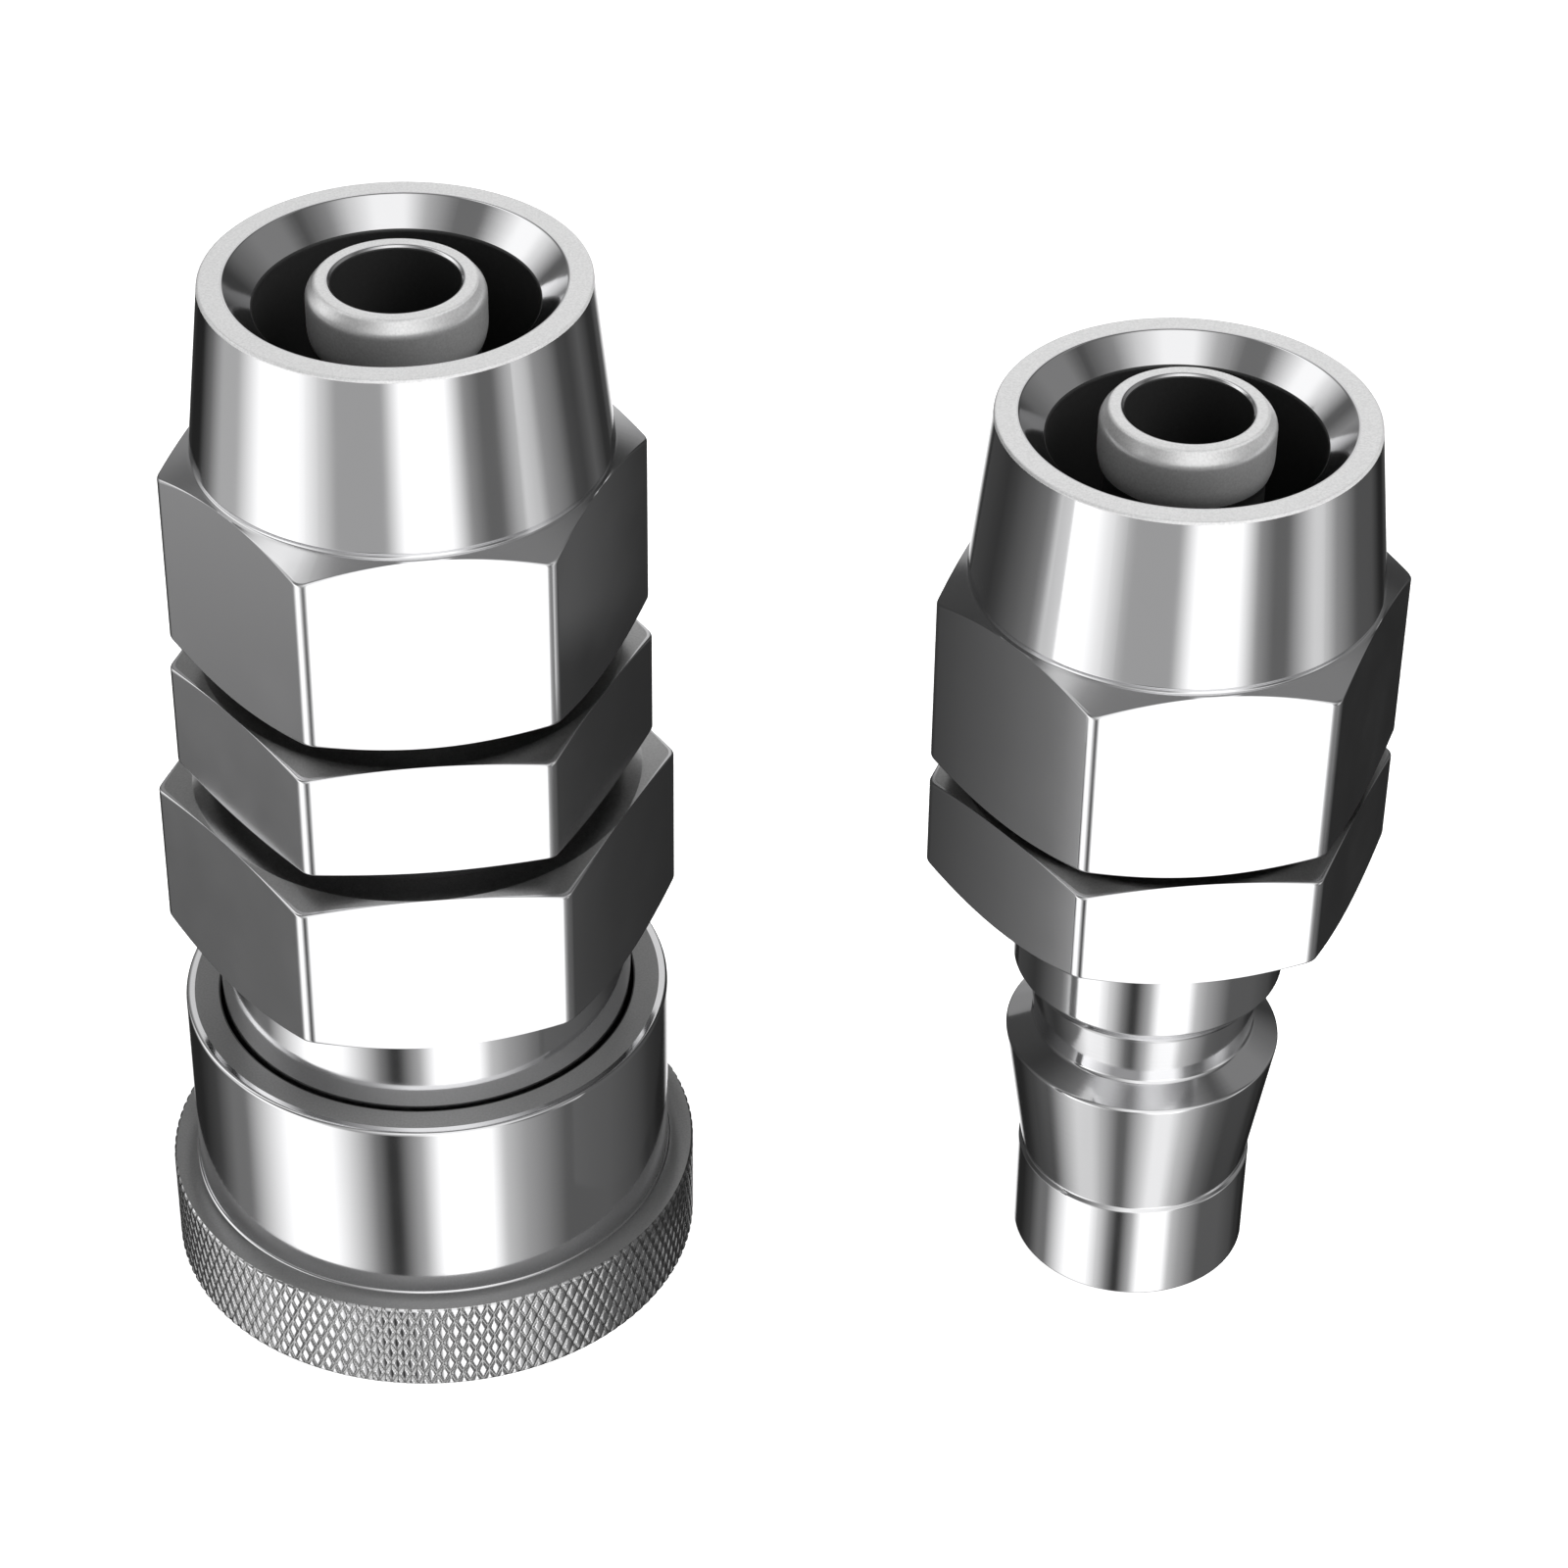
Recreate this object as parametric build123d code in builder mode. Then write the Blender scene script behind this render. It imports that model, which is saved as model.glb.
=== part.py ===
from build123d import *
from math import cos, hypot, radians, sqrt
import os

# A quick coupling for an 8 x 12 mm hose: a ball-lock socket half and the plug half that
# snaps into it, standing side by side on their mating ends. Both axes are upright.
# The origin is on the floor, at the middle of the pair's outer size. Lengths are in mm.

os.makedirs("parts", exist_ok=True)

# Plug nose, the shape that the socket is made to fit. Heights count from the nose's tip.
nose_r = 5.95
nose_h = 5.65
nose_edge = 0.15
waist_drop = 0.15
waist_step_h = 0.15
flange_r = 6.93
flange_z = 13.18
groove_r = 5.55
groove_shoulder_h = 0.87
groove_top_r = 5.88
plug_neck_r = 6.75
plug_neck_z = 17.94
plug_hex_z = 23.94
plug_hex_h = 5.91
plug_bore_r = 4.2
plug_bore_taper_h = 2.0

# Locking balls. A ball is free of the plug's flange once its inner side reaches the mouth's wall.
ball_r = 1.5
ball_count = 8
ball_z = 5.0
ball_lift = 0.85
ball_hole_gap = 0.05
ball_lip_gap = 0.1
ball_lip_depth = 0.3
ball_lip_rise = 0.2

# Socket body: front tube, round neck and hexagon. Heights count from the floor.
mouth_gap = 0.15
mouth_recess = 0.3
mouth_chamfer = 0.5
mouth_depth = 8.8
bore_gap = 0.2
bore_z = 13.0
bore_top_z = 15.0
seal_groove_r = 8.0
seal_groove_h = 2.4
web_gap = 0.35
valve_floor_z = 19.0
chamber_r = 8.0
neck_r = 10.3
neck_z = 14.5
body_hex_z = 19.98
body_hex_h = 8.95
body_flats = 22.0
body_turn = 8.4

# Release sleeve. It slides up by the stroke, and its cone lets the balls out as it goes.
release_stroke = 3.5
sleeve_h = 15.55
sleeve_wall = 1.15
sleeve_gap = 0.25
sleeve_edge = 0.15
sleeve_land_gap = 0.08
ball_cover_gap = 0.05
cone_gap = 0.022
spring_seat_z = 6.0
ring_band_step = 1.3
ring_band_h = 5.1
ring_band_edge = 0.1
ring_root_round = 0.35
ring_pocket_wall = 0.1
ring_pocket_gap = 0.05
pocket_chamfer = 0.4

# Stop ring, which keeps the sleeve from sliding off the front.
stop_ring_z = 1.0
stop_ring_h = 0.7
stop_ring_w = 2.17
stop_ring_groove_depth = 0.52
stop_ring_fit = 0.05
stop_ring_split = 3.0

# Packing ring in the bore.
packing_wire_r = 1.0
packing_gap = 0.1

# Valve: a disc with a notched skirt that the plug's nose pushes, and fingers that guide it.
valve_lift = 3.0
skirt_z = 16.6
skirt_r = 5.7
skirt_bore_r = 4.6
skirt_notch_w = 3.0
skirt_notch_h = 1.2
valve_seal_gap = 0.05
valve_seal_h = 0.9
valve_seal_r = 6.8
valve_seal_fit = 0.05
valve_disc_r = 6.9
valve_disc_h = 1.1
finger_bore_r = 5.9
finger_gap = 0.08
finger_overlap = 1.6
finger_slot_w = 5.0
disc_headroom = 0.55

# Hose adapter of the socket half.
adapter_gap = 0.99
adapter_hex_h = 6.11
adapter_flats = 20.2
adapter_turn = 8.4
spigot_wall = 1.0
thread_gap = 0.1
counterbore_r = 7.2
counterbore_headroom = 0.3
washer_w = 1.55
washer_fit = 0.05
undercut_depth = 0.5
undercut_h = 0.4

# Hose tail, the same on both halves. Heights count from the top of the hexagon below it.
tail_h = 20.1
tail_relief_r = 7.3
tail_relief_h = 1.15
tail_thread_r = 7.9
tail_thread_top = 7.4
tail_cone_r = 5.4
tail_cone_h = 1.3
stem_r = 3.8
stem_bore_r = 2.97
stem_bore_edge = 0.15
barb_r = 4.15
barb_tip_r = 3.88
barb_round_h = 0.55
barb_band_h = 2.0
barb_back_h = 1.0

# Hose nut, the same on both halves. Heights count from its lower face.
nut_flats = 20.0
nut_hex_h = 10.32
nut_h = 19.17
collar_foot_r = 9.93
collar_rim_r = 9.0
nut_thread_gap = 0.1
nut_thread_h = 8.3
nut_bore_r = 6.55
nut_mouth_r = 7.85
nut_entry = 0.5
socket_nut_gap = 1.0
plug_nut_gap = 0.5
socket_nut_turn = 10.35
plug_nut_turn = 7.6

# Hexagons: how round the upright edges are, and how far the turned corners drop.
edge_round = 0.7
plug_hex_flats = 20.0
plug_hex_turn = 7.55
body_low_drop = 0.95
body_high_drop = 0.43
adapter_low_drop = 0.3
adapter_high_drop = 0.4
nut_low_drop = 0.71
nut_high_drop = 0.85
plug_low_drop = 0.8
plug_high_drop = 0.4

# Springs.
sleeve_wire_r = 0.4
sleeve_spring_turns = 4.25
valve_wire_r = 0.35
valve_spring_turns = 4.5
valve_spring_gap = 0.35

# Layout: the distance between the two axes.
axis_spacing = 36.34

# Radii that follow from the plug nose and the balls.
mouth_r = flange_r + mouth_gap
bore_r = nose_r + bore_gap
web_r = nose_r + web_gap
ball_out_r = mouth_r + ball_r
ball_in_r = ball_out_r - ball_lift
sleeve_land_r = ball_in_r + ball_r + ball_cover_gap
front_tube_r = sleeve_land_r - sleeve_land_gap
sleeve_bore_r = neck_r + sleeve_gap

# The sleeve's cone: its slope gives each ball its lift over the stroke.
cone_slope = ball_lift / release_stroke
cone_offset = ball_r * hypot(1, cone_slope) + cone_gap
cone_top_z = ball_z + (ball_in_r + cone_offset - sleeve_land_r) / cone_slope
stop_ring_top_z = stop_ring_z + stop_ring_h
pocket_top_z = stop_ring_top_z + ring_pocket_gap
cone_foot_r = sleeve_land_r + cone_slope * (cone_top_z - pocket_top_z)
stop_ring_groove_r = front_tube_r - stop_ring_groove_depth
stop_ring_bore_r = stop_ring_groove_r + stop_ring_fit
stop_ring_r = stop_ring_bore_r + stop_ring_w
pocket_r = stop_ring_r + ring_pocket_wall
sleeve_r = pocket_r + sleeve_wall
ring_band_r = sleeve_r + ring_band_step

# How far each half reaches sideways: the socket with its ring band, the plug with a corner of its
# nut, which the nut's turn swings.
nut_corner_centre = nut_flats / 2 / cos(radians(30)) - edge_round / cos(radians(30))
plug_reach = nut_corner_centre * cos(radians(plug_nut_turn)) + edge_round
socket_x = ring_band_r - (ring_band_r + axis_spacing + plug_reach) / 2
plug_x = socket_x + axis_spacing

# Heights up the socket half.
seal_groove_z = bore_top_z
web_z = seal_groove_z + seal_groove_h
body_top_z = body_hex_z + body_hex_h
valve_seal_z = valve_floor_z + valve_seal_gap
disc_z = valve_seal_z + valve_seal_h
disc_top_z = disc_z + valve_disc_h
spigot_z = disc_top_z + valve_lift + disc_headroom
finger_top_z = spigot_z + finger_overlap
counterbore_z = finger_top_z + valve_lift + counterbore_headroom
finger_r = counterbore_r - finger_gap
spigot_r = counterbore_r + spigot_wall
body_thread_r = spigot_r + thread_gap
undercut_r = spigot_r - undercut_depth
washer_bore_r = undercut_r + washer_fit
washer_r = washer_bore_r + washer_w
adapter_hex_z = body_top_z + adapter_gap
adapter_top_z = adapter_hex_z + adapter_hex_h
socket_nut_z = adapter_top_z + socket_nut_gap

# Heights up the plug half.
groove_z = flange_z + groove_shoulder_h
groove_top_z = plug_neck_z - (plug_neck_r - groove_top_r)
plug_top_z = plug_hex_z + plug_hex_h
plug_nut_z = plug_top_z + plug_nut_gap

# Profile planes: the first direction is the radius, the second is the height.
socket_side = Plane((socket_x, 0, 0), x_dir=(1, 0, 0), z_dir=(0, -1, 0))
plug_side = Plane((plug_x, 0, 0), x_dir=(1, 0, 0), z_dir=(0, -1, 0))

# Cutters run this far past the faces that they cut.
overshoot = 1.0


def turn(side, points, mode=Mode.ADD):
    """Spin a closed outline of (radius, height) points about the upright axis of one half."""
    with BuildSketch(side) as outline:
        with BuildLine():
            Polyline(*points, close=True)
        make_face()
    revolve(outline.sketch, axis=Axis(side.origin, (0, 0, 1)), mode=mode)


def add_hexagon(side, flats, low_z, height, rotation):
    """Add a hexagonal prism whose upright edges are rounded."""
    with BuildSketch(Plane.XY.offset(low_z)) as outline:
        with Locations((side.origin.X, side.origin.Y)):
            RegularPolygon(flats / 2, 6, major_radius=False, rotation=rotation)
        fillet(outline.vertices(), edge_round)
    extrude(outline.sketch, height)


def turn_corners(side, flats, face_z, inward, drop):
    """Turn the corners at one end of a hexagon down to a cone that is tangent to its flats.

    inward is 1 where the hexagon lies above face_z and -1 where it lies below.
    """
    start_r = flats / 2
    corner_r = start_r / cos(radians(30))
    reach_r = corner_r + overshoot
    fall = drop * (reach_r - start_r) / (corner_r - start_r)
    corner = [
        (start_r, face_z),
        (start_r, face_z - inward * overshoot),
        (reach_r, face_z - inward * overshoot),
        (reach_r, face_z + inward * fall),
    ]
    turn(side, corner, mode=Mode.SUBTRACT)


def add_hose_tail(side, base_z):
    """Add a relief, a thread for the hose nut, and the stem with its barb."""
    thread_z = base_z + tail_relief_h
    thread_top_z = base_z + tail_thread_top
    cone_top = thread_top_z + tail_cone_h
    tip_z = base_z + tail_h
    band_top_z = tip_z - barb_round_h
    band_low_z = band_top_z - barb_band_h
    with BuildSketch(side) as outline:
        with BuildLine():
            Polyline(
                (0, base_z),
                (tail_relief_r, base_z),
                (tail_relief_r, thread_z),
                (tail_thread_r, thread_z + tail_thread_r - tail_relief_r),
                (tail_thread_r, thread_top_z),
                (tail_cone_r, cone_top),
                (stem_r, cone_top),
                (stem_r, band_low_z - barb_back_h),
                (barb_r, band_low_z),
                (barb_r, band_top_z),
            )
            TangentArc((barb_r, band_top_z), (barb_tip_r, tip_z), tangent=(0, 1))
            Polyline((barb_tip_r, tip_z), (0, tip_z), (0, base_z))
        make_face()
    revolve(outline.sketch, axis=Axis(side.origin, (0, 0, 1)))


def build_hose_nut(side, low_z, rotation):
    """Make a hose nut: a hexagon with a tapered collar, threaded below and bored for the hose above."""
    hex_top_z = low_z + nut_hex_h
    rim_z = low_z + nut_h
    thread_r = tail_thread_r + nut_thread_gap
    thread_top_z = low_z + nut_thread_h
    mouth_z = rim_z - (nut_mouth_r - nut_bore_r)
    with BuildPart() as nut:
        add_hexagon(side, nut_flats, low_z, nut_hex_h, rotation)
        turn_corners(side, nut_flats, low_z, 1, nut_low_drop)
        turn_corners(side, nut_flats, hex_top_z, -1, nut_high_drop)
        collar = [
            (0, hex_top_z),
            (collar_foot_r, hex_top_z),
            (collar_rim_r, rim_z),
            (0, rim_z),
        ]
        turn(side, collar)
        bore = [
            (0, low_z - overshoot),
            (thread_r + nut_entry, low_z - overshoot),
            (thread_r + nut_entry, low_z),
            (thread_r, low_z + nut_entry),
            (thread_r, thread_top_z),
            (nut_bore_r, thread_top_z + thread_r - nut_bore_r),
            (nut_bore_r, mouth_z),
            (nut_mouth_r, rim_z),
            (nut_mouth_r, rim_z + overshoot),
            (0, rim_z + overshoot),
        ]
        turn(side, bore, mode=Mode.SUBTRACT)
    return nut.part


def build_spring(side, low_z, high_z, mean_r, wire_r, turns):
    """Make a coil spring with ground ends that lie flat on its two seats."""
    height = high_z - low_z
    with BuildPart() as spring:
        with BuildLine() as path:
            Helix(height / turns, height, mean_r, center=(side.origin.X, side.origin.Y, low_z))
        with BuildSketch(Plane(path.line @ 0, z_dir=path.line % 0)):
            Circle(wire_r)
        sweep(path=path.line, is_frenet=True)
        with Locations((side.origin.X, side.origin.Y, low_z + height / 2)):
            Cylinder(mean_r + overshoot, height, mode=Mode.INTERSECT)
    return spring.part


def write(part, name):
    """Label a finished piece and write it under its own name."""
    part.label = name
    export_step(part, f"parts/{name}.step")


# Socket body: front tube, neck and hexagon, bored through for the plug and the valve.
with BuildPart() as socket_body:
    barrel = [
        (0, mouth_recess),
        (front_tube_r - sleeve_edge, mouth_recess),
        (front_tube_r, mouth_recess + sleeve_edge),
        (front_tube_r, neck_z),
        (neck_r, neck_z),
        (neck_r, body_hex_z),
        (0, body_hex_z),
    ]
    turn(socket_side, barrel)
    add_hexagon(socket_side, body_flats, body_hex_z, body_hex_h, body_turn)
    turn_corners(socket_side, body_flats, body_hex_z, 1, body_low_drop)
    turn_corners(socket_side, body_flats, body_top_z, -1, body_high_drop)
    bore = [
        (0, mouth_recess - overshoot),
        (mouth_r + mouth_chamfer, mouth_recess - overshoot),
        (mouth_r + mouth_chamfer, mouth_recess),
        (mouth_r, mouth_recess + mouth_chamfer),
        (mouth_r, mouth_depth),
        (bore_r, bore_z),
        (bore_r, bore_top_z),
        (seal_groove_r, bore_top_z),
        (seal_groove_r, web_z),
        (web_r, web_z),
        (web_r, valve_floor_z),
        (chamber_r, valve_floor_z),
        (chamber_r, spigot_z - overshoot),
        (body_thread_r, spigot_z - thread_gap),
        (body_thread_r, body_top_z + overshoot),
        (0, body_top_z + overshoot),
    ]
    turn(socket_side, bore, mode=Mode.SUBTRACT)
    ring_groove = [
        (stop_ring_groove_r, stop_ring_z - stop_ring_fit),
        (front_tube_r + overshoot, stop_ring_z - stop_ring_fit),
        (front_tube_r + overshoot, stop_ring_top_z + stop_ring_fit),
        (stop_ring_groove_r, stop_ring_top_z + stop_ring_fit),
    ]
    turn(socket_side, ring_groove, mode=Mode.SUBTRACT)

    # Each ball hole ends in a tapered lip that keeps its ball from falling into the mouth.
    lip_in_r = mouth_r - ball_lip_depth
    lip_out_r = ball_in_r - ball_lip_rise
    lip_end_r = sqrt(ball_r**2 - (ball_in_r - lip_in_r) ** 2) + ball_lip_gap
    hole_end_r = front_tube_r + overshoot
    with Locations((socket_x, 0, ball_z)):
        with PolarLocations((lip_out_r + hole_end_r) / 2, ball_count):
            Cylinder(
                ball_r + ball_hole_gap,
                hole_end_r - lip_out_r,
                rotation=(0, 90, 0),
                mode=Mode.SUBTRACT,
            )
        with PolarLocations((lip_in_r + lip_out_r) / 2, ball_count):
            Cone(
                lip_end_r,
                ball_r + ball_hole_gap,
                lip_out_r - lip_in_r,
                rotation=(0, 90, 0),
                mode=Mode.SUBTRACT,
            )
write(socket_body.part, "socket_body")

# Release sleeve: a stepped shell whose inside holds the stop ring's pocket, the cone that
# works the balls, the land that locks them, and the spring's seat.
with BuildPart() as release_sleeve:
    shell = [
        (pocket_r + pocket_chamfer, 0),
        (ring_band_r - ring_band_edge, 0),
        (ring_band_r, ring_band_edge),
        (ring_band_r, ring_band_h - ring_band_edge),
        (ring_band_r - ring_band_edge, ring_band_h),
        (sleeve_r, ring_band_h),
        (sleeve_r, sleeve_h - sleeve_edge),
        (sleeve_r - sleeve_edge, sleeve_h),
        (sleeve_bore_r, sleeve_h),
        (sleeve_bore_r, spring_seat_z),
        (sleeve_land_r, spring_seat_z),
        (sleeve_land_r, cone_top_z),
        (cone_foot_r, pocket_top_z),
        (pocket_r, pocket_top_z),
        (pocket_r, pocket_chamfer),
    ]
    turn(socket_side, shell)
    at_ring_top = release_sleeve.edges().filter_by_position(Axis.Z, ring_band_h, ring_band_h)
    fillet(at_ring_top.sort_by(SortBy.RADIUS)[0], ring_root_round)
write(release_sleeve.part, "release_sleeve")

# Sleeve spring, between the sleeve's seat and the shoulder under the body's neck.
sleeve_spring = build_spring(
    socket_side,
    spring_seat_z,
    neck_z,
    (front_tube_r + sleeve_bore_r) / 2,
    sleeve_wire_r,
    sleeve_spring_turns,
)
write(sleeve_spring, "sleeve_spring")

# Stop ring: a flat ring, split so that it can be sprung over the front tube.
with BuildPart() as stop_ring:
    flat = [
        (stop_ring_bore_r, stop_ring_z),
        (stop_ring_r, stop_ring_z),
        (stop_ring_r, stop_ring_top_z),
        (stop_ring_bore_r, stop_ring_top_z),
    ]
    turn(socket_side, flat)
    with Locations((socket_x, stop_ring_r, stop_ring_z + stop_ring_h / 2)):
        Box(stop_ring_split, stop_ring_r, stop_ring_h + overshoot, mode=Mode.SUBTRACT)
write(stop_ring.part, "stop_ring")

# Locking balls, each in its own hole through the front tube.
for number in range(ball_count):
    with BuildPart() as locking_ball:
        with Locations((socket_x, 0, ball_z)):
            with PolarLocations(ball_in_r, 1, start_angle=360 / ball_count * number):
                Sphere(ball_r)
    write(locking_ball.part, f"locking_ball_{number + 1}")

# Packing ring, which seals on the plug's nose.
with BuildPart() as packing_ring:
    with BuildSketch(socket_side) as packing_section:
        with Locations((seal_groove_r - packing_gap - packing_wire_r, seal_groove_z + seal_groove_h / 2)):
            Circle(packing_wire_r)
    revolve(axis=Axis(socket_side.origin, (0, 0, 1)))
write(packing_ring.part, "packing_ring")

# Valve poppet: a notched skirt below the disc, and four fingers above it that slide in the adapter.
with BuildPart() as valve_poppet:
    stem = [
        (skirt_bore_r, skirt_z),
        (skirt_r, skirt_z),
        (skirt_r, disc_z),
        (valve_disc_r, disc_z),
        (valve_disc_r, disc_top_z),
        (finger_r, disc_top_z),
        (finger_r, finger_top_z),
        (finger_bore_r, finger_top_z),
        (finger_bore_r, disc_top_z),
        (0, disc_top_z),
        (0, disc_z),
        (skirt_bore_r, disc_z),
    ]
    turn(socket_side, stem)
    slot_h = finger_top_z - disc_top_z
    with Locations((socket_x, 0, disc_top_z + slot_h / 2)):
        with PolarLocations(0, 2, angular_range=180):
            Box(3 * finger_r, finger_slot_w, slot_h, mode=Mode.SUBTRACT)
    with Locations((socket_x, 0, skirt_z + skirt_notch_h / 2)):
        with PolarLocations(0, 2, angular_range=180):
            Box(3 * skirt_r, skirt_notch_w, skirt_notch_h, mode=Mode.SUBTRACT)
write(valve_poppet.part, "valve_poppet")

# Valve seal: a flat ring under the poppet's disc.
with BuildPart() as valve_seal:
    flat = [
        (skirt_r + valve_seal_fit, valve_seal_z),
        (valve_seal_r, valve_seal_z),
        (valve_seal_r, disc_z),
        (skirt_r + valve_seal_fit, disc_z),
    ]
    turn(socket_side, flat)
write(valve_seal.part, "valve_seal")

# Valve spring, inside the fingers, between the disc and the adapter's counterbore.
valve_spring = build_spring(
    socket_side,
    disc_top_z,
    counterbore_z,
    finger_bore_r - valve_spring_gap - valve_wire_r,
    valve_wire_r,
    valve_spring_turns,
)
write(valve_spring, "valve_spring")

# Hose adapter: a threaded spigot in the body, a hexagon, and a hose tail.
with BuildPart() as hose_adapter:
    spigot = [
        (0, spigot_z),
        (spigot_r, spigot_z),
        (spigot_r, body_top_z - undercut_h),
        (undercut_r, body_top_z - undercut_h),
        (undercut_r, adapter_hex_z),
        (0, adapter_hex_z),
    ]
    turn(socket_side, spigot)
    add_hexagon(socket_side, adapter_flats, adapter_hex_z, adapter_hex_h, adapter_turn)
    turn_corners(socket_side, adapter_flats, adapter_hex_z, 1, adapter_low_drop)
    turn_corners(socket_side, adapter_flats, adapter_top_z, -1, adapter_high_drop)
    add_hose_tail(socket_side, adapter_top_z)
    tip_z = adapter_top_z + tail_h
    bore = [
        (0, spigot_z - overshoot),
        (counterbore_r, spigot_z - overshoot),
        (counterbore_r, counterbore_z),
        (stem_bore_r, counterbore_z),
        (stem_bore_r, tip_z - stem_bore_edge),
        (stem_bore_r + stem_bore_edge, tip_z),
        (stem_bore_r + stem_bore_edge, tip_z + overshoot),
        (0, tip_z + overshoot),
    ]
    turn(socket_side, bore, mode=Mode.SUBTRACT)
write(hose_adapter.part, "hose_adapter")

# Adapter washer, between the body's hexagon and the adapter's.
with BuildPart() as adapter_washer:
    flat = [
        (washer_bore_r, body_top_z),
        (washer_r, body_top_z),
        (washer_r, adapter_hex_z),
        (washer_bore_r, adapter_hex_z),
    ]
    turn(socket_side, flat)
write(adapter_washer.part, "adapter_washer")

write(build_hose_nut(socket_side, socket_nut_z, socket_nut_turn), "socket_hose_nut")

# Plug body: nose, flange, ball groove, neck, hexagon and hose tail, bored through.
with BuildPart() as plug_body:
    nose = [
        (0, 0),
        (nose_r - nose_edge, 0),
        (nose_r, nose_edge),
        (nose_r, nose_h),
        (nose_r - waist_drop, nose_h + waist_step_h),
        (flange_r, flange_z),
        (groove_r, groove_z),
        (groove_top_r, groove_top_z),
        (plug_neck_r, plug_neck_z),
        (plug_neck_r, plug_hex_z),
        (0, plug_hex_z),
    ]
    turn(plug_side, nose)
    add_hexagon(plug_side, plug_hex_flats, plug_hex_z, plug_hex_h, plug_hex_turn)
    turn_corners(plug_side, plug_hex_flats, plug_hex_z, 1, plug_low_drop)
    turn_corners(plug_side, plug_hex_flats, plug_top_z, -1, plug_high_drop)
    add_hose_tail(plug_side, plug_top_z)
    tip_z = plug_top_z + tail_h
    bore = [
        (0, -overshoot),
        (plug_bore_r, -overshoot),
        (plug_bore_r, plug_hex_z),
        (stem_bore_r, plug_hex_z + plug_bore_taper_h),
        (stem_bore_r, tip_z - stem_bore_edge),
        (stem_bore_r + stem_bore_edge, tip_z),
        (stem_bore_r + stem_bore_edge, tip_z + overshoot),
        (0, tip_z + overshoot),
    ]
    turn(plug_side, bore, mode=Mode.SUBTRACT)
write(plug_body.part, "plug_body")

write(build_hose_nut(plug_side, plug_nut_z, plug_nut_turn), "plug_hose_nut")
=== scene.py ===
# %% [markdown]
# # A quick coupling in polished nickel
# The object is a pair of turned fittings: a socket half with a sliding sleeve, and the plug half that snaps
# into it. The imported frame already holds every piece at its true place, so this file only dresses them.
# Most of what the eye sees on such a part is reflection, so clean surfaces and a well planned room matter
# more than colour.

import bpy
import numpy as np
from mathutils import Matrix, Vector


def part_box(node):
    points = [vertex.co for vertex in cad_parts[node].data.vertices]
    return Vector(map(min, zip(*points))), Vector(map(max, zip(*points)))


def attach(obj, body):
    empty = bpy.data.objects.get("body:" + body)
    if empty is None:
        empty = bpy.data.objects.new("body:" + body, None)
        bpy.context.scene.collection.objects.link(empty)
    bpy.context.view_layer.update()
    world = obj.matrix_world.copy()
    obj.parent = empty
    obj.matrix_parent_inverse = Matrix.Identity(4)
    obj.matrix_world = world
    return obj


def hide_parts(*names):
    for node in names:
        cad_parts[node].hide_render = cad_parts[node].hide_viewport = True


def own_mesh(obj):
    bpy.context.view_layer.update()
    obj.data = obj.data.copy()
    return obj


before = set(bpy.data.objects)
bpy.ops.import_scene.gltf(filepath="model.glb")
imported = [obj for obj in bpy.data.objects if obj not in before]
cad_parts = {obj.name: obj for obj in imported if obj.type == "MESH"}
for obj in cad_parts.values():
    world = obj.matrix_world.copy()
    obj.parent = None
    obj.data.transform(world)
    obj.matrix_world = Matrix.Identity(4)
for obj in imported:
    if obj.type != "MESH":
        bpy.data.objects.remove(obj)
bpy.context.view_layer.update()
print("pieces in the frame:", len(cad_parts))

# %% [markdown]
# The part's lengths are in millimetres, as on a drawing, and become metres when a mesh is built. The two
# upright axes and the main heights are read from the frame, so the new surfaces sit where the old ones do.
# A name that ends in R is a radius, in H a height above its own base, and in Z a height above the floor.

# %% Read the places from the frame
MM = 0.001


def low(node):
    """The lowest corner of a piece, in millimetres."""
    return np.array(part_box(node)[0]) / MM


def high(node):
    """The highest corner of a piece, in millimetres."""
    return np.array(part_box(node)[1]) / MM


sleeve_centre = (low("release_sleeve") + high("release_sleeve")) / 2
plug_nut_centre = (low("plug_hose_nut") + high("plug_hose_nut")) / 2
SOCKET_X = sleeve_centre[0]
PLUG_X = plug_nut_centre[0]
print("axes at x =", round(SOCKET_X, 3), "and", round(PLUG_X, 3))

# %% [markdown]
# ## Turned surfaces that can carry a hexagon
# A lathe makes a surface from one outline, spun about the axis. A spanner hexagon is milled on it, and the
# lathe then turns its corners down to a cone. All of this fits one idea: an outline of corners whose radius
# and height may change with the angle. The points of a hexagon's edge are worked out from its angle, so its
# creases follow the true curves exactly, which no boolean cut of a faceted mesh does.

# %% Angles round the axis
ROUND_COLUMNS = 256
FLAT_COLUMNS = 30
EDGE_COLUMNS = 8
HEX_EDGE = 0.7
CORNER_STEP = np.radians(60)
FLAT_TO_CORNER = np.cos(CORNER_STEP / 2)
EDGE_GUARD = np.radians(0.12)


def round_azimuths(columns=ROUND_COLUMNS):
    """Equal angles round the axis."""
    return np.arange(columns) * 2 * np.pi / columns


def edge_half_angle(flats, edge):
    """Half of the angle that a hexagon's rounded upright edge takes up, seen from the axis.

    The rounding's centre lies on the corner's line. The edge ends where the rounding meets the flat.
    """
    centre = (flats / 2 - edge) / FLAT_TO_CORNER
    return np.arctan2(edge * np.sin(CORNER_STEP / 2), centre + edge * FLAT_TO_CORNER)


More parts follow.
